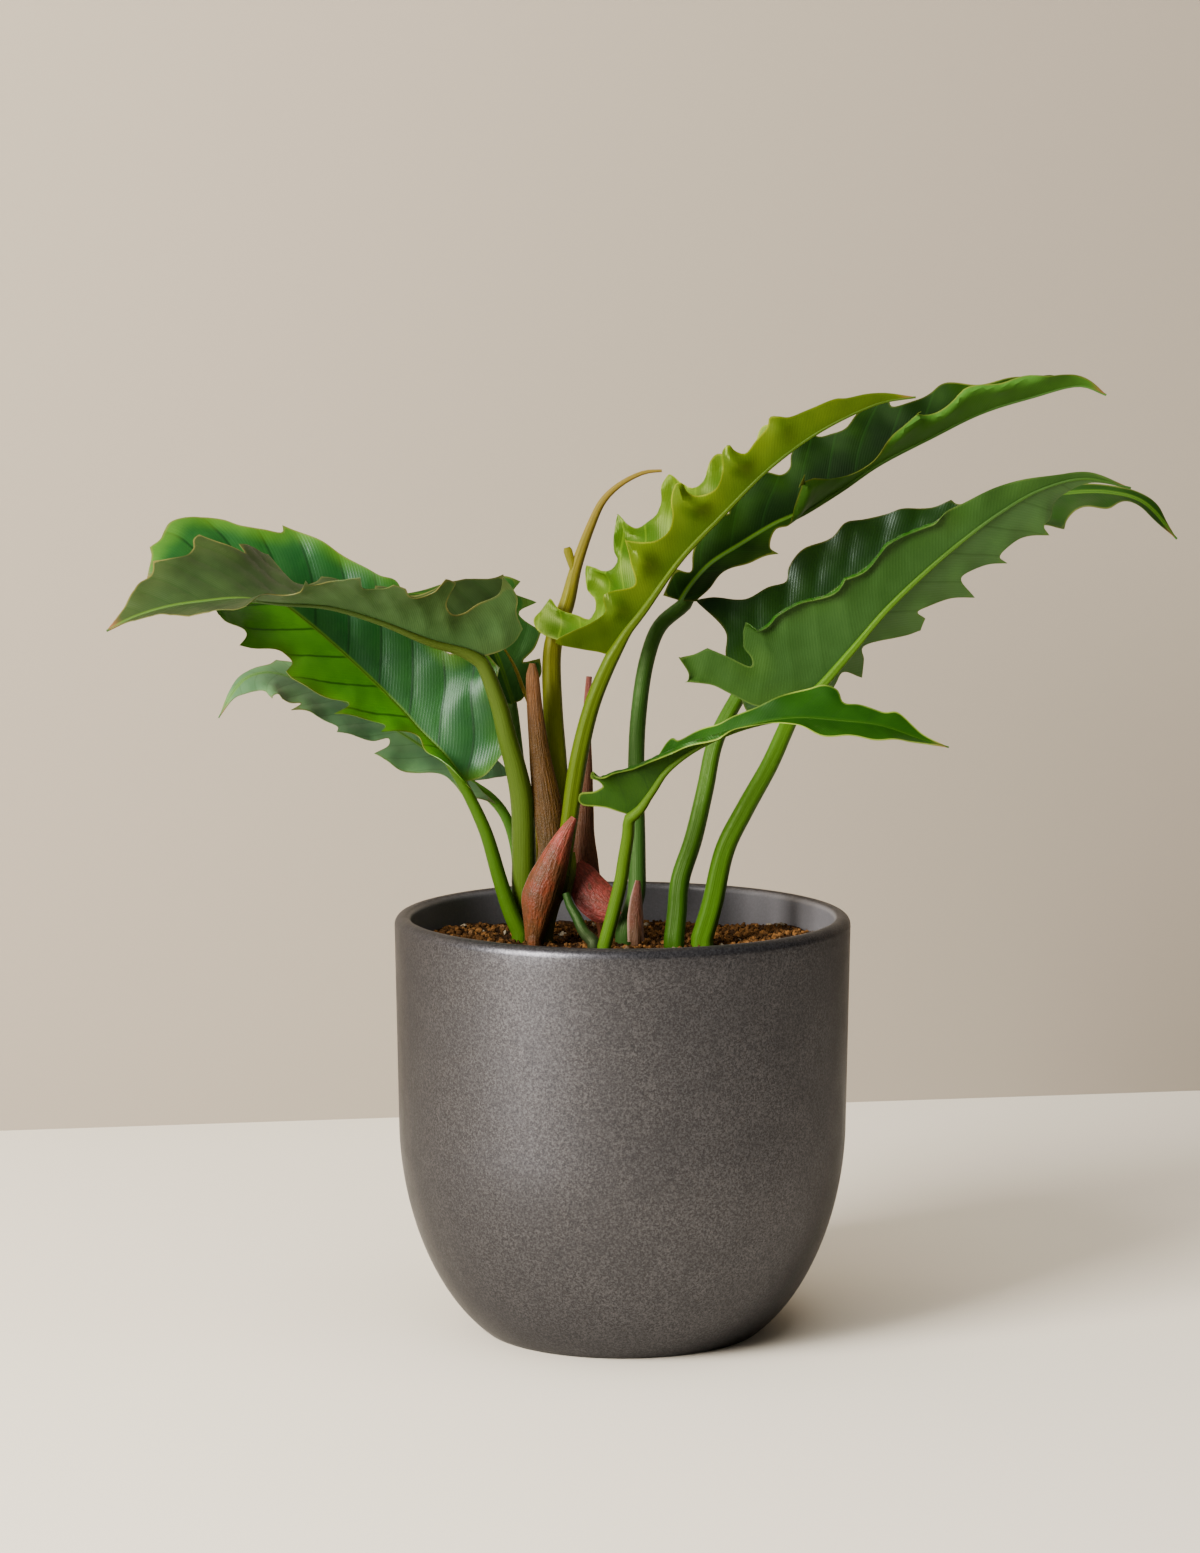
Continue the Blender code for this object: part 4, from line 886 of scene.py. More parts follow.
class Rib:
    """A smooth midrib that can be read at any distance along it, and a little beyond both ends."""

    def __init__(self, points):
        self.path = smooth_path(points)
        self.distance = distances(self.path)
        self.length = self.distance[-1]
        self.start = (self.inside(END_REACH) - self.inside(0.0)) / END_REACH
        self.end = (self.inside(self.length) - self.inside(self.length - END_REACH)) / END_REACH

    def inside(self, along):
        """A point between both ends."""
        return read_at(along, self.distance, self.path)

    def point(self, along):
        """A point, also beyond the ends."""
        along = np.asarray(along, float)
        before = np.minimum(along, 0.0)[..., None] * self.start
        after = np.maximum(along - self.length, 0.0)[..., None] * self.end
        return self.inside(np.clip(along, 0.0, self.length)) + before + after

    def tangent(self, along):
        """The direction along the rib."""
        along = np.asarray(along)
        return unit(self.point(along + TANGENT_REACH) - self.point(along - TANGENT_REACH))


def soft(keys, share):
    """A value keyed along the blade, rounded off at its keys."""
    at, value = np.array(keys, float).T
    return sum(np.interp(np.asarray(share) + s, at, value) for s in KEY_SPREAD) / len(KEY_SPREAD)


def cross_frame(rib, along, roll):
    """The directions across the blade, to its right and out of its top face."""
    tangent = rib.tangent(along)
    up = unit(np.array([0.0, 0.0, 1.0]) - tangent[..., 2:3] * tangent)
    right = np.cross(tangent, up)
    roll = np.radians(roll)[..., None]
    return np.cos(roll) * right + np.sin(roll) * up, np.cos(roll) * up - np.sin(roll) * right


def blade_point(rib, form, side, along, out):
    """Points of a half blade, whose side is 1 for right and -1 for left. A curl is in degrees per mm."""
    half = HALVES[side]
    share = along / rib.length
    right, top = cross_frame(rib, along, soft(form["roll"], share))
    lean = np.radians(soft(form[half + "_fold"], share))
    bend = np.radians(np.interp(share, *np.array(form.get(half + "_curl", NO_CURL), float).T))
    bend = np.where(np.abs(bend) < LEAST_BEND, LEAST_BEND, bend)
    end = lean + bend * out
    across = (np.sin(end) - np.sin(lean)) / bend
    height = (np.cos(lean) - np.cos(end)) / bend
    return rib.point(along) + side * right * across[..., None] + top * height[..., None]


print("curves ready")

# %% Blade outline, filled
MARGIN_STEP = 1.3
FILL_STEP = 2.1
ROW_STEP = 0.87 * FILL_STEP
FIRST_ROW = 0.8 * FILL_STEP
LEAST_OUT = 0.25
INWARD_SHARE = 0.3
LEAST_STEP = 1e-9
MERGE_REACH = 1e-5


def smooth_margin(edge, pointed):
    """The margin of a half blade, pointed where it turns back by more than an angle and smooth between."""
    points = np.array(edge, float)
    step = np.diff(points, axis=0)
    turns = np.diff(np.unwrap(np.arctan2(step[:, 1], step[:, 0])))
    tips = [i + 1 for i, turn in enumerate(turns) if turn < -math.radians(pointed)]
    ends = [0] + tips + [len(points) - 1]
    runs = [spaced(smooth_path(points[a : b + 1]), MARGIN_STEP) for a, b in zip(ends, ends[1:])]
    return np.vstack([run[:-1] for run in runs] + [points[-1:]])


def inside_loop(loop, points):
    """Which of the points are inside the loop."""
    x, y = points[:, :1], points[:, 1:]
    xa, ya = loop.T
    xb, yb = np.roll(loop, -1, axis=0).T
    slope = (xb - xa) / np.where(np.abs(yb - ya) < LEAST_STEP, LEAST_STEP, yb - ya)
    return (((ya > y) != (yb > y)) & (x < xa + (y - ya) * slope)).sum(1) % 2 == 1


def nearest_on(line, points):
    """How far each point is from a line of points, and the direction away from the line, to its right."""
    start, step = line[:-1], np.diff(line, axis=0)
    gap = points[:, None] - start
    share = np.clip((gap * step).sum(-1) / np.maximum((step**2).sum(-1), LEAST_STEP), 0.0, 1.0)
    gap = gap - share[..., None] * step
    nearest = (gap**2).sum(-1).argmin(1)
    away = gap[np.arange(len(points)), nearest]
    turned_step = step[nearest][:, ::-1] * (1.0, -1.0)
    inward = away + INWARD_SHARE * turned_step / np.linalg.norm(turned_step, axis=1, keepdims=True)
    return np.linalg.norm(away, axis=1), unit(inward)


def flat_half(edge, length, pointed):
    """The flat half blade: its points as (along, out), its triangles, and how far and in which direction each
    point lies from the margin."""
    margin = smooth_margin([(0.0, 0.0)] + [p for p in edge if p[0] < length - 1.0] + [(length, 0.0)], pointed)
    margin[1:-1, 1] = np.maximum(margin[1:-1, 1], LEAST_OUT)
    rim = np.linspace(length, 0.0, round(length / FILL_STEP) + 1)[1:-1]
    loop = np.vstack([margin, np.stack([rim, np.zeros_like(rim)], -1)])
    grid = []
    for row, out in enumerate(np.arange(FIRST_ROW, margin[:, 1].max(), ROW_STEP)):
        line = np.arange(margin[:, 0].min() + FILL_STEP * HALF * (row % 2), length, FILL_STEP)
        grid.append(np.stack([line, np.full(len(line), out)], -1))
    grid = np.vstack(grid)
    grid = grid[inside_loop(loop, grid)]
    grid = grid[nearest_on(np.vstack([loop, loop[:1]]), grid)[0] > FILL_STEP * HALF]
    points = [Vector(p) for p in np.vstack([loop, grid])]
    verts, _, faces, *_ = delaunay_2d_cdt(points, [], [list(range(len(loop)))], 1, MERGE_REACH)
    flat = np.array([tuple(v) for v in verts])
    faces = np.array(faces)
    a, b, c = (flat[faces[:, k]] for k in range(3))
    area = (b[:, 0] - a[:, 0]) * (c[:, 1] - a[:, 1]) - (b[:, 1] - a[:, 1]) * (c[:, 0] - a[:, 0])
    faces[area < 0] = faces[area < 0][:, ::-1]
    return flat, faces, *nearest_on(margin, flat)


print("outline maker ready")

# %% Blade relief
POUCH_LENGTH = 1.7
ROLL_FADE = 6.0
SLOPE_STEP = 0.5
PUFF_POWER = 0.6
WAVE_SHIFT = 0.3
PUFF_RIB, PUFF_EDGE = (0.5, 9.0), (0.0, 5.0)
WAVE_RIB, WAVE_EDGE = (4.0, 14.0), (13.0, 0.0)
POUCH_EDGE = (0.0, 4.0)


def raised(look, along, out, edge, side):
    """How far the blade rises from its plain surface: puffed between side veins and waved at its margin."""
    phase = (along - out * VEIN_LEAN - out**2 * VEIN_SWEEP) / look["veins"]
    puff = np.abs(np.sin(np.pi * phase)) ** PUFF_POWER - PUFF_POWER
    rise = look["puff"] * puff * ease(out, *PUFF_RIB) * (HALF + HALF * ease(edge, *PUFF_EDGE))
    wave = np.sin(FULL_TURN * (along / look["wave_length"] + WAVE_SHIFT * side))
    rise = rise + look["wave"] * wave * ease(edge, *WAVE_EDGE) * ease(out, *WAVE_RIB)
    for half, at, away, reach, height in look.get("pouches", []):
        if half == side:
            near = np.exp(-(((along - at) / reach) ** 2 + ((out - away) / (POUCH_LENGTH * reach)) ** 2))
            rise = rise + height * near * ease(edge, *POUCH_EDGE)
    return rise


def rolled_margin(look, side, along, edge):
    """How far points near the margin move inwards and rise, where the margin rolls over."""
    shift, lift = np.zeros_like(along), np.zeros_like(along)
    for half, start, end, width, radius in look.get("rolls", []):
        if half == side:
            wide = width * ease(along, start - ROLL_FADE, start + ROLL_FADE)
            bent = np.maximum(wide * ease(along, end + ROLL_FADE, end - ROLL_FADE) - edge, 0.0)
            shift = shift + bent - abs(radius) * np.sin(bent / abs(radius))
            lift = lift + radius * (1.0 - np.cos(bent / abs(radius)))
    return shift, lift


def blade_normals(form, rib, side, along, out):
    """The directions out of the top face of a half blade."""
    reads = []
    for forward, outward in ((SLOPE_STEP, 0.0), (0.0, SLOPE_STEP)):
        after = blade_point(rib, form, side, along + forward, out + outward)
        reads.append(after - blade_point(rib, form, side, along - forward, out - outward))
    return unit(-side * np.cross(*reads))


def blade_sheet(form, look, rib):
    """Both halves of a blade as one sheet, with (along, out, distance to the margin) at each point."""
    points, faces, spots, count = [], [], [], 0
    for side, half in HALVES.items():
        flat, cut, edge, inward = flat_half(form[half], rib.length, look["pointed"])
        shift, lift = rolled_margin(look, side, flat[:, 0], edge)
        along, out = (flat + inward * shift[:, None]).T
        out = np.maximum(out, 0.0)
        lift = lift + raised(look, flat[:, 0], flat[:, 1], edge, side)
        sheet = blade_point(rib, form, side, along, out)
        points.append(sheet + blade_normals(form, rib, side, along, out) * lift[:, None])
        faces.append((cut if side < 0 else cut[:, ::-1]) + count)
        spots.append(np.stack([flat[:, 0], flat[:, 1] * side, edge], -1))
        count += len(flat)
    points, faces, spots = np.vstack(points), np.vstack(faces), np.vstack(spots)
    _, first, index = np.unique(np.round(points, 4), axis=0, return_index=True, return_inverse=True)
    return points[first], index.reshape(-1)[faces], spots[first]


print("blade sheet ready")

# %% Stalk and midrib
STALK_SIDES = 24
STALK_STEP = 3.0
RIB_STEP = 3.0
RIB_TAPER = [(0.0, 1.0), (0.08, 0.62), (0.25, 0.42), (0.6, 0.25), (1.0, 0.15)]
RIB_SUNK = 0.42
JOINT_TRIM = 8
CROWN_TOP = 198.0
SOIL_FEET = (SOIL_TOP - 8.0, SOIL_TOP + 1.0, SOIL_TOP + 4.0)
CROWN_FEET = (CROWN_TOP + 0.3, CROWN_TOP + 1.0, CROWN_TOP + 2.0)


def tube(path, radii, sides, shape=None, finish=1):
    """A closed tapered tube along a path as a part: its spots are (cosine, sine, distance) and its under
    readings run from 0 at its start to 1 at its end."""
    path = np.asarray(path, float)
    tangents = unit(np.gradient(path, axis=0))
    at = distances(path)
    across = np.cross(tangents[0], (0.0, 1.0, 0.0))
    angles = np.arange(sides) * FULL_TURN / sides
    points, spots = [], []
    for here, point, tangent, radius in zip(at, path, tangents, radii):
        across = unit(across - (across @ tangent) * tangent)
        other = np.cross(tangent, across)
        reach = radius * (np.ones(sides) if shape is None else shape(angles, here))
        ring = np.outer(np.cos(angles), across) + np.outer(np.sin(angles), other)
        points.append(point + reach[:, None] * ring)
        spots.append(np.stack([np.cos(angles), np.sin(angles), np.full(sides, here)], -1))
    last = (len(path) - 1) * sides
    points = np.vstack(points + [path[:1], path[-1:]])
    spots = np.vstack(spots + [[(0.0, 0.0, 0.0)], [(0.0, 0.0, at[-1])]])
    faces = []
    for k in range(sides):
        after = (k + 1) % sides
        faces.append((after, k, last + sides))
        faces.append((last + k, last + after, last + sides + 1))
        for near in range(0, last, sides):
            faces.append((near + k, near + after, near + sides + after, near + sides + k))
    return points, faces, spots, spots[:, 2] / at[-1], finish


def leaf_stalk_path(stalk, rib, roll, radii):
    """The stalk and, under the blade, the midrib: its points and radii."""
    stops = np.linspace(0.0, rib.length, round(rib.length / RIB_STEP))
    at, taper = np.array(RIB_TAPER).T
    rib_radii = np.interp(stops / rib.length, at, radii[2] * taper)
    _, top = cross_frame(rib, stops, soft(roll, stops / rib.length))
    under = rib.point(stops) - top * (rib_radii - RIB_SUNK)[:, None]
    upper = smooth_path(list(stalk[2:]) + [tuple(under[0]), tuple(under[1])])
    upper = spaced(upper[:-JOINT_TRIM], STALK_STEP)
    path = np.vstack([stalk[:2], upper, under[1:]])
    stalk_radii = np.interp(np.linspace(0.0, 1.0, len(upper) + 2), (0.0, 0.5, 1.0), radii)
    stalk_radii[:3] = radii[0]
    return path, np.concatenate([stalk_radii, rib_radii[1:]])


def channelled(place, width, depth):
    """The outline of a stalk with one lengthwise channel, placed by its angle round the stalk."""

    def outline(angles, _):
        away = (angles - place + math.pi) % FULL_TURN - math.pi
        return 1.0 - depth * np.exp(-((away / width) ** 2))
    return outline


def footed(path, stands=False):
    """A stalk's path whose first point, given in plan, stands on the crown or goes down into the soil."""
    return [(*path[0], height) for height in (CROWN_FEET if stands else SOIL_FEET)] + path[1:]


print("stalk maker ready")

# %% Leaf maker
BLADE = 0.55
THIN_EDGE = 0.55
THIN_REACH = 2.5


def dressed(node, slot, parts, *finishes):
    """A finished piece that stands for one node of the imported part."""
    settle(mesh_piece(node + "_dressed", parts, *finishes), node)


def leaf(name, form, look, *finishes):
    """One leaf as one mesh: the blade's shell, and the stalk that runs on as the midrib."""
    rib = Rib(form["rib"])
    stalk = footed(form["stalk"], form.get("stands"))
    path, radii = leaf_stalk_path(stalk, rib, form["roll"], form["radius"])
    stem = tube(path, radii, STALK_SIDES, channelled(*look["channel"]))
    sheet, cut, spots = blade_sheet(form, look, rib)
    thickness = BLADE * (THIN_EDGE + (1.0 - THIN_EDGE) * ease(spots[:, 2], 0.0, THIN_REACH))
    dressed(name, look["slot"], [shell(sheet, cut, spots, thickness), stem], *finishes)


print("leaf maker ready")

# %% [markdown]
# ## Leaves: finishes
# The top of a blade is deep green and glossy, and its underside is paler, olive and dull. A blade that is
# still young is yellow-green. Side veins, clouds of colour, a thin pale margin and a browned tip are
# painted from the readings that the mesh carries. On two leaves the left half is painted lighter, which
# is painted light. Stalks are smooth, with faint lengthwise fibres.

# %% Blade finish
RIB_SHARE = 0.75
UNDER_VEIN, UNDER_FINE = 0.4, 0.1
MIDDLE = (0.3, -0.3)
MARGIN_EDGES = (0.9, 0.3)
MARGIN_SHARES = (0.15, 0.7)
TIP_BROWN = (1400, 450, 200)
TIP_LENGTH = 9.0
TIP_SHARE = 0.85
BLADE_SIZES = ((34.0, 3.0), (8.0, 1.2))
FINE_SHARE = 0.3
LEAST_WARMTH = 0.35
CLOUD_ROUGHNESS = 0.06
FINE_RELIEF = 0.4


def blade_finish(name, top, top_dark, under, under_dark, warm, look):
    """A blade's finish: its colours on both faces, the tint towards its margin, and on some leaves painted
    light that makes the left half lighter.
    """
    finish = Finish(name)
    face = finish.reading("under")
    along, out, edge = finish.parts(finish.reading("spot", "Vector"))
    veins = finish.masks(VEINS, along, out, look["veins"])
    seen, fine = (finish.clouds(*sizes)["Cloud"] for sizes in BLADE_SIZES)
    shade = finish.maths("MULTIPLY_ADD", fine, FINE_SHARE, finish.times(seen, 1.0 - FINE_SHARE))
    top_marks = [("Vein", look["vein"], look["vein_share"]), ("Rib", look["rib"], RIB_SHARE)]
    under_marks = [("Vein", under_dark, UNDER_VEIN), ("Fine", under_dark, UNDER_FINE)]
    faces = [(top_dark, top, "lit_left_top", top_marks), (under_dark, under, "lit_left_under", under_marks)]
    sides = []
    for dark, pale, left, marks in faces:
        finish.colour = finish.mixed(shade, dark, pale)
        # Painted light: on some leaves the left half gets its own lighter colours, standing in for the light
        # it catches.
        if left in look:
            finish.layer(finish.between(out, *MIDDLE), finish.mixed(shade, *look[left]))
        for mask, colour, share in marks:
            finish.layer(veins[mask], colour, share)
        sides.append(finish.colour)
    finish.colour = finish.mixed(face, *sides)
    warmth = finish.times(finish.between(edge, look["warm_reach"], 0.0), look["warmth"])
    finish.layer(finish.times(warmth, finish.maths("ADD", seen, LEAST_WARMTH)), warm)
    thin = finish.times(finish.between(edge, *MARGIN_EDGES), finish.between(seen, 0.0, 1.0, *MARGIN_SHARES))
    finish.layer(thin, look["margin"])
    finish.layer(finish.between(along, look["length"] - TIP_LENGTH, look["length"]), TIP_BROWN, TIP_SHARE)
    gloss = {0: face, 2: look["gloss"], 3: look["dull"]}
    rough = finish.add("ShaderNodeMix", gloss, data_type="FLOAT").outputs[0]
    rough = finish.maths("ADD", rough, finish.times(seen, CLOUD_ROUGHNESS))
    finish.feed(Base_Color=finish.colour, Roughness=rough)
    finish.feed(Specular_IOR_Level=look["shine"], Specular_Tint=(*look["tint"], 1.0))
    relief = finish.maths("ADD", veins["Fine"], finish.times(fine, FINE_RELIEF))
    finish.bumps(relief, strength=0.2, depth=0.15)
    return finish


print("blade finish ready")

# %% Stalk finish
STALK_TINT = (0.8, 1.0, 0.5, 1.0)
STALK_SIZES = (22.0, 1.6)
FOOT_PART = (0.03, 0.22)
BLADE_PART = (0.3, 0.55)
TIP_PART = (0.5, 0.85)
FIBRE_SHARE, SPECK_SHARE, CLOUD_SHARE = 0.35, 0.18, 0.2
GRAIN_RELIEF = 0.3


def stalk_finish(name, foot, middle, blade, ridge, tip):
    """A stalk's finish: its colour from foot to blade and on to the midrib's tip, with lengthwise fibres."""
    finish = Finish(name)
    spot = finish.reading("spot", "Vector")
    share = finish.reading("under")
    fibre = finish.masks(FIBRES, spot, finish.parts(spot)[2])["Fibre"]
    cloud, speck, grain = finish.clouds(*STALK_SIZES)
    finish.colour = finish.mixed(finish.between(share, *FOOT_PART), foot, middle)
    finish.layer(finish.between(share, *BLADE_PART), blade)
    finish.layer(finish.between(share, *TIP_PART), tip)
    finish.layer(fibre, ridge, FIBRE_SHARE)
    finish.layer(speck, ridge, SPECK_SHARE)
    finish.layer(cloud, foot, CLOUD_SHARE)
    finish.feed(Base_Color=finish.colour, Roughness=finish.between(grain, 0.0, 1.0, low=0.42, high=0.54))
    finish.feed(Specular_IOR_Level=0.15, Specular_Tint=STALK_TINT)
    relief = finish.maths("ADD", fibre, finish.times(grain, GRAIN_RELIEF))
    finish.bumps(relief, strength=0.3, depth=0.2)
    return finish


print("stalk finish ready")

# %% Leaf looks
# The plain look, and for each leaf what differs from it. "blade" is its top, dark top, underside, dark
# underside and margin tint, and "stalk" is its foot, middle, blade end and ridges.
PLAIN_LOOK = {"veins": 13.0, "puff": 0.8, "wave": 0.8, "wave_length": 23.0, "warmth": 0.2, "gloss": 0.24,
    "dull": 0.42, "shine": 0.2, "tint": (0.6, 1, 0.45), "pointed": 48.0, "vein": (40, 200, 20),
    "vein_share": 0.35, "rib": (500, 1100, 60), "margin": (900, 1000, 140), "warm_reach": 16.0,
    "channel": (1.3, 0.5, 0.06)}
LOOKS = {
    "leaf_left_arching": {
        "slot": "leaf_olive", "dull": 0.45, "gloss": 0.4, "shine": 0.15, "warmth": 0.25,
        "tint": (0.8, 1, 0.7), "margin": (1100, 950, 220),
        "blade": [(150, 302, 69), (91, 187, 45), (373, 835, 240), (229, 551, 129), (244, 332, 46)],
        "stalk": [(330, 600, 30), (320, 560, 45), (400, 600, 80), (250, 400, 40)],
    },
    "leaf_left_glossy": {
        "slot": "leaf_bright", "puff": 0.9, "veins": 19.0, "gloss": 0.36, "warmth": 0.5, "warm_reach": 8.0,
        "shine": 0.27, "vein": (10, 120, 10), "vein_share": 0.75,
        # Painted light: lighter colours for the left half of the top face.
        "lit_left_top": [(310, 1560, 5), (540, 2200, 5)], "tint": (0.8, 1, 0.9),
        "blade": [(75, 520, 60), (34, 320, 45), (420, 840, 100), (290, 620, 70), (500, 1300, 20)],
        "stalk": [(240, 604, 5), (213, 572, 5), (213, 555, 5), (115, 371, 5)],
    },
    "leaf_left_low": {
        "slot": "leaf_green", "puff": 0.6, "veins": 10.0, "gloss": 0.45, "shine": 0.25, "tint": (1, 1, 1),
        "blade": [(620, 1430, 560), (300, 800, 340), (560, 1380, 500), (400, 1000, 350), (1019, 2299, 469)],
        "stalk": [(290, 880, 50), (290, 880, 50), (380, 920, 100), (210, 620, 50)],
    },
    "leaf_left_back": {
        "slot": "leaf_dark", "gloss": 0.35,
        "blade": [(150, 530, 90), (80, 330, 50), (170, 530, 90), (130, 400, 70), (210, 620, 70)],
        "stalk": [(210, 660, 50), (210, 660, 50), (340, 790, 130), (170, 480, 50)],
    },
    "leaf_new_ruffled": {
        "slot": "leaf_new", "channel": (1.7, 0.25, 0.16), "puff": 0.25, "veins": 16.0, "wave": 0.4,
        "gloss": 0.36, "dull": 0.3, "warmth": 0.3, "shine": 0.17, "rib_tip": (200, 440, 11), "pointed": 200.0,
        "tint": (0.9, 1, 0.3),
        "pouches": [(1.0, 19.0, 12.0, 4.5, -3.2), (1.0, 43.5, 15.0, 5.0, -4.4), (1.0, 75.5, 15.0, 5.0, -4.4),
            (1.0, 101.0, 13.5, 4.5, -3.6), (1.0, 123.0, 10.0, 4.0, -1.8), (-1.0, -2.0, 30.0, 7.0, -3.0),
            (-1.0, 19.0, 26.0, 6.0, -5.0), (-1.0, 47.0, 27.0, 7.0, -5.0), (-1.0, 72.0, 24.0, 6.5, -4.0),
            (-1.0, 94.0, 14.0, 6.0, -3.0)],
        "rolls": [(-1.0, -10.0, 90.0, 3.5, -2.4), (1.0, 38.0, 50.0, 4.0, 2.6), (1.0, 70.0, 82.0, 4.0, 2.6),
            (1.0, 96.0, 105.0, 3.5, 2.6)],
        "vein": (900, 1600, 30), "rib": (1000, 1600, 30), "margin": (1300, 1500, 60),
        "blade": [(150, 540, 5), (95, 400, 5), (225, 500, 9), (160, 390, 9), (800, 1100, 30)],
        "stalk": [(400, 620, 9), (370, 590, 9), (320, 560, 9), (250, 400, 9)],
    },
    "leaf_right_back": {
        "slot": "leaf_dark", "puff": 0.18, "veins": 16.0, "gloss": 0.45, "shine": 0.03,
        "rolls": [(1.0, 62.0, 84.0, 5.0, 2.2), (1.0, 118.0, 190.0, 4.0, 1.8)],
        "blade": [(16, 75, 5), (5, 30, 4), (334, 965, 116), (239, 685, 83), (250, 700, 50)],
        "stalk": [(180, 480, 80), (170, 500, 60), (250, 620, 80), (90, 300, 30)],
    },
    "leaf_right_big": {
        "slot": "leaf_green", "channel": (1.5, 0.45, 0.2), "puff": 0.35, "veins": 19.0, "dull": 0.38,
        "margin": (500, 850, 150), "rib_tip": (150, 420, 70),
        # Painted light: lighter colours for the left half of the underside.
        "lit_left_under": [(265, 660, 175), (362, 850, 250)],
        "rolls": [(1.0, 6.0, 105.0, 4.5, -1.7), (1.0, -34.0, -28.0, 3.0, -1.5)],
        "blade": [(30, 378, 5), (19, 242, 5), (135, 375, 66), (85, 275, 35), (240, 603, 25)],
        "stalk": [(300, 820, 10), (270, 740, 10), (400, 930, 20), (160, 450, 10)],
    },
    "leaf_right_far": {
        "slot": "leaf_dark", "channel": (1.35, 0.42, 0.18), "puff": 0.7, "veins": 17.0, "gloss": 0.3,
        "shine": 0.3, "tint": (0.8, 1, 0.9),
        "blade": [(60, 246, 13), (28, 145, 7), (210, 660, 70), (130, 440, 50), (170, 450, 9)],
        "stalk": [(200, 640, 15), (220, 600, 20), (250, 600, 30), (110, 330, 15)],
    },
    "leaf_right_small": {
        "slot": "leaf_green", "puff": 0.3, "veins": 15.0, "gloss": 0.34, "shine": 0.15, "pointed": 200.0,
        "rib": (80, 340, 10), "rib_tip": (90, 380, 12), "margin": (1800, 2400, 300),
        "rolls": [(1.0, 8.0, 62.0, 4.0, -1.8)],
        "blade": [(42, 275, 5), (20, 170, 5), (210, 560, 60), (110, 300, 50), (118, 488, 5)],
        "stalk": [(330, 790, 10), (370, 750, 20), (265, 631, 50), (180, 442, 10)],
    },
}
print(len(LOOKS), "looks")

# %% Leaves: made
for name, change in LOOKS.items():
    look = {**PLAIN_LOOK, **change, "length": Rib(LEAVES[name]["rib"]).length}
    blade = blade_finish("Blade of " + name, *look["blade"], look)
    stalk = stalk_finish("Stalk of " + name, *look["stalk"], look.get("rib_tip", look["blade"][2]))
    leaf(name, LEAVES[name], look, blade, stalk)

# %% [markdown]
# ## Crown, stub, shoot and spear
# The newest growth rises from a short crown: a leaf that is still rolled up like a spear, the stub of an old
# stalk cut off at the pot's middle, and the thin tip of a shoot. All are tubes along a curve, which is how
# they grew. The crown has a short node at its side.

# %% Crown, stub and shoot
CROWN_PATH = [(-35.5, 22), (-34.8, 22.2, 178), (-33, 23, 187), (-31, 23.8, 193), (-30.5, 24, 195.5),
              (-30.5, 24, 198)]
CROWN_RADII = (5.0, 5.0, 5.4, 6.2, 7.8, 8.5, 8.5)
CROWN_STEP = 1.5
NODE_PATH = [(-24.5, 19.5, 188), (-23.8, 19.8, 193), (-22.9, 20.6, 198), (-22.2, 21.6, 203),
             (-21.8, 22.4, 208)]
NODE_RADII = (1.8, 2.2, 1.9, 0.9)
STUB_PATH = [(-12.5, -1.2), (-16.9, 4, 175), (-20, 7, 181), (-23.1, 10, 186), (-24.9, 12, 191)]
STUB_RADII = (3.0, 3.0, 2.6, 2.3, 2.0, 1.7)
SHOOT_PATH = [(-37, 46.5), (-38, 45, 190), (-38.5, 43, 230), (-39, 42, 255), (-40.7, 41, 268.5),
              (-42, 41, 274), (-44.2, 41, 279), (-46.9, 40.5, 286.5), (-49.5, 40, 292), (-53.1, 39, 298)]
SHOOT_RADII = (1.3, 1.3, 1.3, 1.2, 1.1, 1.0, 1.0, 0.9, 0.8, 0.6, 0.4)
# Each piece's colours are its foot, middle, blade end, ridges and tip.
CROWN_COLOURS = [(300, 280, 60), (350, 400, 60), (500, 600, 80), (180, 150, 40), (900, 1200, 80)]
STUB_COLOURS = [(300, 80, 160), (40, 170, 20), (50, 200, 20), (20, 90, 10), (70, 240, 30)]
SHOOT_COLOURS = [(800, 950, 60), (1200, 1050, 80), (1500, 1200, 100), (900, 600, 80), (1600, 1200, 100)]


def keyed_tube(path, radii, sides, step=STALK_STEP, shape=None):
    """A tube whose radii are keyed at its path's own points, read again at small steps."""
    fine = smooth_path(path)
    even = spaced(fine, step)
    at = distances(fine)
    stops = np.linspace(0.0, at[-1], len(even))
    return tube(even, np.interp(stops, at[::CURVE_STEPS], (radii[0], *radii)), sides, shape, 0)


crown_finish = stalk_finish("Crown", *CROWN_COLOURS)
points, faces, spots, share, number = keyed_tube(footed(CROWN_PATH), CROWN_RADII, STALK_SIDES, CROWN_STEP)
node = keyed_tube(NODE_PATH, NODE_RADII, STALK_SIDES, CROWN_STEP)
dressed("crown_stem", "stem", [(points, faces, spots, share * HALF, number), node], crown_finish)
stub = keyed_tube(footed(STUB_PATH), STUB_RADII, sides=20)
dressed("petiole_stub", "stem_dark", [stub], stalk_finish("Stub", *STUB_COLOURS))
shoot = keyed_tube(footed(SHOOT_PATH), SHOOT_RADII, sides=12)
dressed("shoot_tip", "shoot", [shoot], stalk_finish("Shoot", *SHOOT_COLOURS))

# %% [markdown]
# ## Sheaths
# Each leaf grew out of a papery sheath that dries from pink to brown. A sheath is a strip bent like a
# gutter round its spine, pleated lengthwise, on a short foot. The back one has a second strip, folded over.

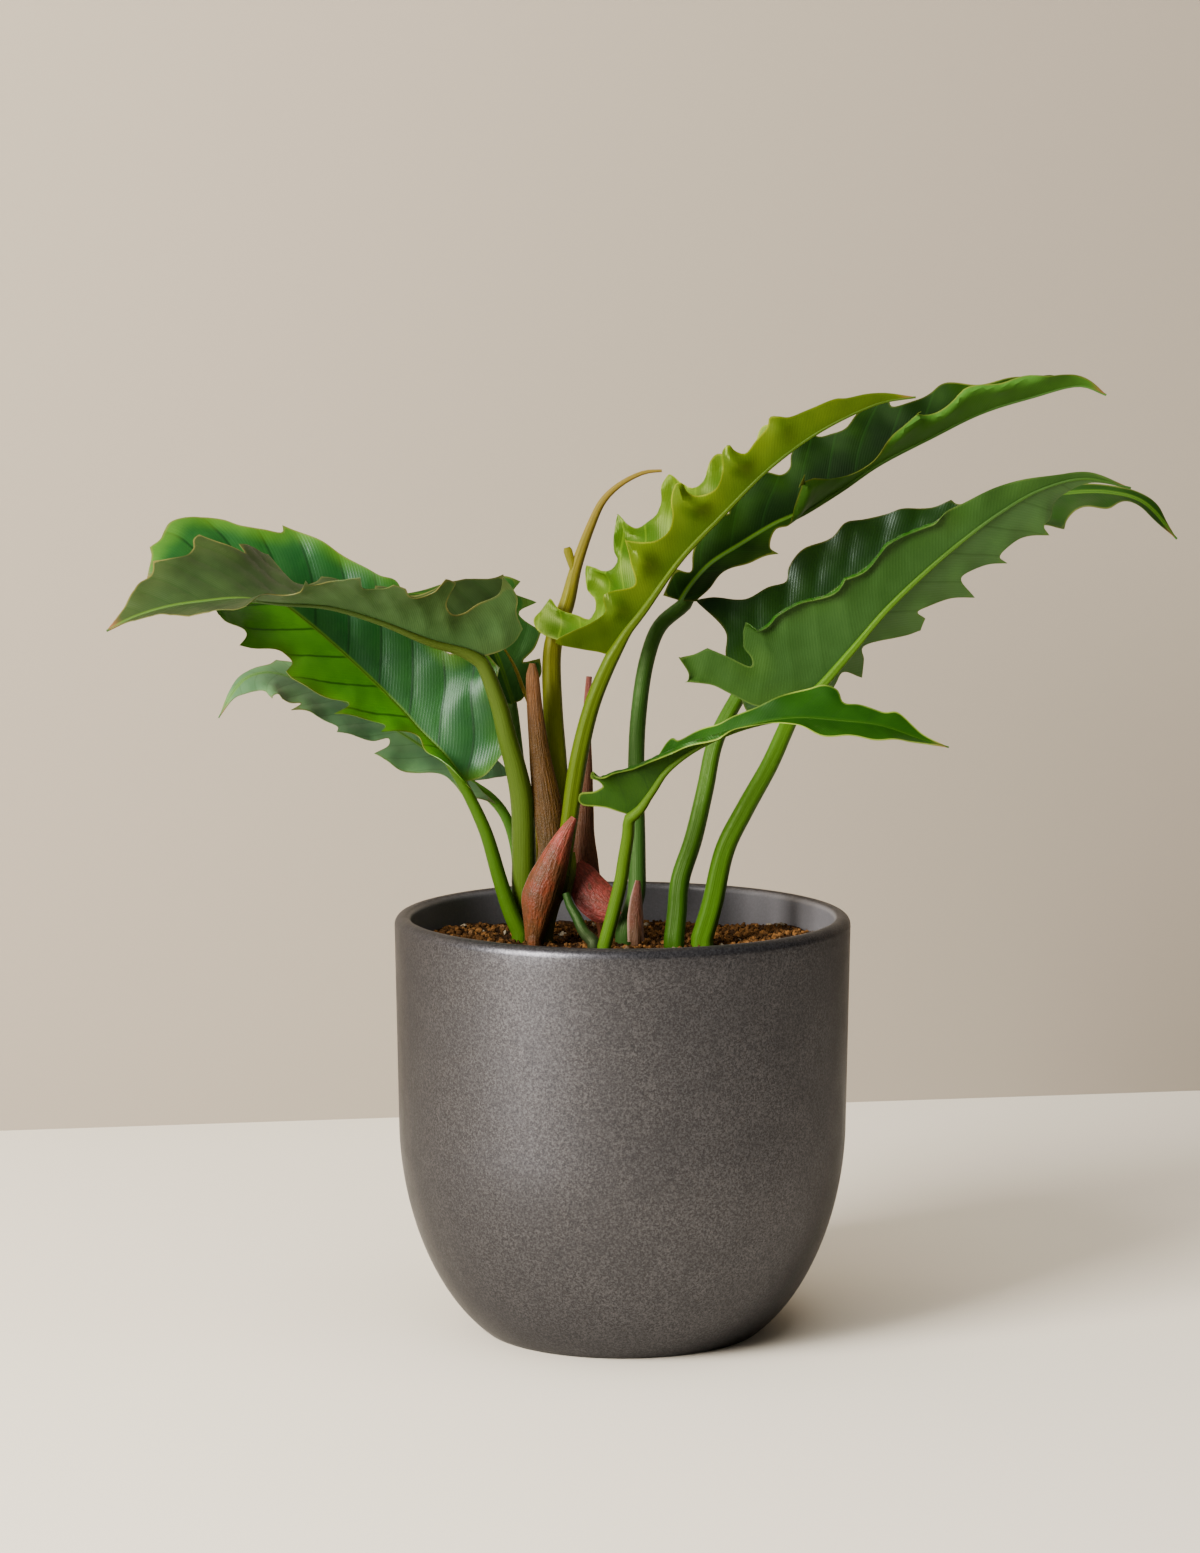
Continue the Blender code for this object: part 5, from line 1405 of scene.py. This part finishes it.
# %% Sheath shapes
SHEATHS = {
    "sheath_front": {
        "strips": [
            {
                "spine": [(-39.5, 11, 169), (-38.1, 9, 177), (-36.8, 7.5, 186), (-34.5, 7, 194),
                    (-31, 7, 203), (-27.5, 8, 212), (-24, 9, 220), (-21.2, 10, 225)],
                "width": [(0, 3.3), (0.15, 5.6), (0.33, 8.4), (0.5, 7.7), (0.7, 5.6), (0.88, 3.0), (1, 1.0)],
                "face": (0, -1, 0), "turn": 75.0, "keel": 0.16,
            },
        ],
        "foot": [(-39.2, 12.5), (-38.8, 12, 174), (-37.8, 9.2, 182)], "foot_radii": (3.2, 3.2, 2.6, 1.2),
    },
    "sheath_tall": {
        "strips": [
            {
                "spine": [(-33.2, 22.2, 201), (-31.8, 22, 209), (-32, 22, 215), (-33.2, 22, 228),
                    (-36.4, 22.5, 250), (-38.9, 23, 274), (-39.7, 23, 287), (-39.7, 23, 292)],
                "width": [(0, 4.6), (0.12, 5.6), (0.3, 6.3), (0.45, 5.2), (0.6, 4.0), (0.8, 3.1), (0.93, 2.7),
                    (0.97, 2.3), (1, 0.4)],
                "face": (0, -1, 0), "turn": 50.0,
            },
        ],
        "foot": [(-34.5, 23.2), (-33.4, 22.8, 206), (-32.2, 22.3, 212)], "foot_radii": (2.0, 2.0, 1.8, 1.0),
        "stands": True,
    },
    "sheath_back": {
        "strips": [
            {
                "spine": [(-14.6, 26.5, 193), (-16.0, 27, 200), (-17, 27, 208), (-17.4, 27, 217),
                    (-16.8, 27, 226), (-16.1, 26.5, 240), (-15.9, 26, 258), (-15.4, 25.5, 275),
                    (-14.7, 25, 286)],
                "width": [(0, 5.0), (0.12, 5.6), (0.3, 4.4), (0.45, 3.0), (0.7, 1.8), (1, 0.9)],
                "face": (0, -1, 0), "turn": 50.0,
            },
            {
                "spine": [(-21.5, 23.6, 202.0), (-18.5, 22.8, 197.6), (-14.1, 20.5, 191.2),
                    (-10.3, 18.5, 187.2), (-5.5, 17.5, 184.6), (-0.5, 17.5, 184.2)],
                "width": [(0, 4.6), (0.2, 7.2), (0.5, 9.0), (0.75, 8.8), (0.9, 5.6), (1, 2.4)],
                "face": (0, -0.9, 0.4), "turn": 40.0, "fold": 1.0, "pleat": 0.06,
            },
        ],
        "foot": [(-8.5, 27), (-10, 24.5, 178), (-14, 21.8, 190), (-16.5, 26.4, 200), (-17, 27.5, 212)],
        "foot_radii": (2.3, 2.3, 2.2, 2.1, 1.6, 0.7),
    },
    "sheath_small": {
        "strips": [
            {
                "spine": [(6.1, 14, 169), (5.8, 14, 177), (6, 14, 185.5), (6.5, 14, 192), (6.9, 14, 196.5)],
                "width": [(0, 3.4), (0.4, 3.2), (0.7, 2.3), (0.9, 1.3), (1, 0.7)], "face": (0, -1, 0),
                "turn": 60.0,
            },
        ],
        "foot": [(6.2, 15.3), (6.1, 15.2, 174), (6.0, 14.6, 182)], "foot_radii": (2.4, 2.4, 2.0, 1.0),
    },
}
print(len(SHEATHS), "sheaths")

# %% Sheath strips
STRIP_ROWS = 60
STRIP_COLUMNS = 25
PLEATS = 7
PLAIN_PLEAT = 0.02
KEEL_PLACE = 0.25
KEEL_WIDTH = 0.16


def strip_sheet(form):
    """One strip as a sheet: a gutter round its spine, with shallow lengthwise pleats."""
    rib = Rib(form["spine"])
    face = np.array(form["face"], float)
    turn = math.radians(form["turn"])
    columns = np.linspace(-turn, turn, STRIP_COLUMNS)
    pleats = form.get("pleat", PLAIN_PLEAT) * np.cos(columns / turn * PLEATS * math.pi)
    keel = form.get("keel", 0.0) * np.exp(-(((columns / turn - KEEL_PLACE) / KEEL_WIDTH) ** 2))
    points, spots = [], []
    for share in np.linspace(0.0, 1.0, STRIP_ROWS):
        width = soft(form["width"], share)
        along = rib.tangent(share * rib.length)
        out = unit(face - (face @ along) * along)
        bend = width * (1.0 / math.sin(turn) + pleats + keel)
        across = np.outer(bend * np.sin(columns), np.cross(along, out))
        points.append(rib.point(share * rib.length) + across + np.outer(bend * (np.cos(columns) - 1.0), out))
        spots += [(column / turn, share, form.get("fold", 0.0)) for column in columns]
    faces = []
    for near in range(0, (STRIP_ROWS - 1) * STRIP_COLUMNS, STRIP_COLUMNS):
        for k in range(near, near + STRIP_COLUMNS - 1):
            faces += [(k, k + 1, k + STRIP_COLUMNS + 1), (k, k + STRIP_COLUMNS + 1, k + STRIP_COLUMNS)]
    return np.vstack(points), np.array(faces), np.array(spots)


print("strip maker ready")

# %% Sheath finish
# Dark flank of the front sheath: partly its own brown, partly painted shade of a hollow that the shape does
# not have.
FLANK_BROWN_AND_SHADE = (200, 140, 30)
FLANK_ACROSS, FLANK_UP = (0.25, 0.5), (0.7, 0.5)
BASE_PART, END_PART = (0.02, 0.4), (0.55, 0.95)
FOLD_EDGES = (0.3, 0.7)
PAPER_SIZES, BLOTCH_SIZES = (12.0, 0.9), (4.5, 2.2)
BASE_SHARE, STRIPE_SHARE, EDGE_SHARE = 0.3, 0.55, 0.7
PAPER_RELIEF = 0.4


def sheath_finish(name, base, middle, tip, stripe, edge, look):
    """A papery finish: its colour up the sheath, with blotches, dark stripes, a dark flank that is partly
    brown and partly painted shade, and a dry, lighter margin.
    """
    finish = Finish(name)
    spot = finish.reading("spot", "Vector")
    across, up, folded = finish.parts(spot)
    fibre = finish.masks(FIBRES, spot, up)["Fibre"]
    seen = finish.clouds(*PAPER_SIZES)
    blotch = finish.clouds(*BLOTCH_SIZES)["Cloud"]
    flank = finish.times(finish.between(across, *FLANK_ACROSS), finish.between(up, *FLANK_UP))
    side = finish.between(finish.maths("ABSOLUTE", across), look["edge_from"], 1.0)
    finish.colour = finish.mixed(finish.between(up, *BASE_PART), base, middle)
    finish.layer(finish.between(up, *END_PART), tip)
    finish.layer(finish.between(folded, *FOLD_EDGES), look["fold"])
    finish.layer(seen["Cloud"], base, BASE_SHARE)
    finish.layer(blotch, look["blotch"], look["blotches"])
    # Dark flank at the right, low down: partly the sheath's own brown, partly painted shade of a hollow that
    # the shape does not have.
    finish.layer(flank, FLANK_BROWN_AND_SHADE, look["flank"])
    finish.layer(fibre, stripe, STRIPE_SHARE)
    finish.layer(side, edge, EDGE_SHARE)
    rough = finish.between(seen["Grain"], 0.0, 1.0, low=0.42, high=0.58)
    finish.feed(Base_Color=finish.colour, Roughness=rough, Specular_IOR_Level=0.15)
    relief = finish.maths("ADD", fibre, finish.times(seen["Grain"], PAPER_RELIEF))
    finish.bumps(relief, strength=0.5, depth=0.4)
    return finish


print("sheath finish ready")

# %% Sheath looks
# The plain look, and for each sheath what differs from it. "colours" are its base, middle, tip, stripes and
# edge.
PLAIN_SHEATH = {"fold": (0, 0, 0), "blotch": (300, 200, 60), "blotches": 0.3, "flank": 0.0, "edge_from": 0.86}
SHEATH_LOOKS = {
    "sheath_front": {
        "slot": "sheath_pink", "blotches": 0.55, "flank": 0.85, "edge_from": 0.9,
        "colours": [(850, 260, 60), (950, 180, 70), (2100, 300, 240), (400, 140, 50), (1900, 1200, 1100)],
    },
    "sheath_tall": {
        "slot": "sheath_brown", "blotch": (700, 280, 50),
        "colours": [(280, 160, 20), (400, 190, 20), (1050, 420, 120), (180, 80, 20), (500, 240, 60)],
    },
    "sheath_back": {
        "slot": "sheath_brown", "fold": (1500, 220, 180),
        "colours": [(600, 180, 70), (600, 240, 90), (1200, 300, 240), (400, 120, 70), (1300, 300, 240)],
    },
    "sheath_small": {
        "slot": "sheath_pink", "edge_from": 0.5,
        "colours": [(450, 220, 90), (700, 220, 120), (1000, 260, 180), (300, 120, 70), (2200, 1300, 1000)],
    },
}
print(len(SHEATH_LOOKS), "sheath looks")

# %% Sheaths: made
SHEATH_WALL = 0.9
FOOT_SHARE = 0.2
FOOT_SIDES = 14
FOOT_STEP = 2.0


def strip(form, thickness):
    """One strip as a closed part."""
    return shell(*strip_sheet(form), thickness)


for name, form in SHEATHS.items():
    look = {**PLAIN_SHEATH, **SHEATH_LOOKS[name]}
    path = footed(form["foot"], form.get("stands"))
    points, faces, spots, share, number = keyed_tube(path, form["foot_radii"], FOOT_SIDES, FOOT_STEP)
    spots = np.stack([spots[:, 0] * HALF, share * FOOT_SHARE, np.zeros(len(points))], -1)
    parts = [(points, faces, spots, np.zeros(len(points)), number)]
    parts += [strip(shape, SHEATH_WALL) for shape in form["strips"]]
    dressed(name, look["slot"], parts, sheath_finish("Finish of " + name, *look["colours"], look))

# %% Spear with its flap
ROLLED_PATH = [(-28.5, 29.8), (-26.7, 31, 213), (-28.8, 34, 247), (-30.8, 38, 272), (-31, 42, 296),
               (-28.4, 44, 307), (-24.7, 45, 316), (-20.4, 44, 333), (-13.9, 42, 351.5), (-8.3, 40.5, 363),
               (0, 39, 370.7), (10, 38, 375.5), (17.5, 37.5, 376.2)]
ROLLED_RADII = (3.4, 3.5, 4.3, 4.4, 4.4, 4.1, 3.9, 3.5, 2.6, 2.0, 1.6, 1.2, 0.9, 0.6)
FLAP = {"spine": [(-20.8, 43.0, 328), (-22.0, 42.0, 333), (-23.3, 41.6, 337.5), (-24.6, 41.4, 342)],
        "width": [(0, 0.9), (0.5, 1.6), (0.9, 1.9), (1, 1.2)], "face": (0, -1, 0), "turn": 35.0}
FLAP_WALL = 0.5
FLAP_SHARE = 0.62
EDGE_START = 1.9
EDGE_WIND = 0.004
EDGE_STEP = 0.14
SPEAR_SIDES = 32
SPEAR_COLOURS = [(480, 620, 20), (580, 720, 20), (1050, 1000, 60), (350, 380, 20), (1250, 800, 100)]


def rolled_form(angles, along):
    """The outline of a rolled blade: its free edge makes a step that winds slowly round the spear."""
    turn = (angles - EDGE_START + along * EDGE_WIND) % FULL_TURN
    return 1.0 - EDGE_STEP * HALF + EDGE_STEP * turn / FULL_TURN


points, faces, spots, under, number = strip(FLAP, FLAP_WALL)
flap = (points, faces, spots, np.full(len(points), FLAP_SHARE), number)
spear = keyed_tube(footed(ROLLED_PATH, stands=True), ROLLED_RADII, SPEAR_SIDES, shape=rolled_form)
dressed("leaf_rolled", "shoot", [spear, flap], stalk_finish("Spear", *SPEAR_COLOURS))
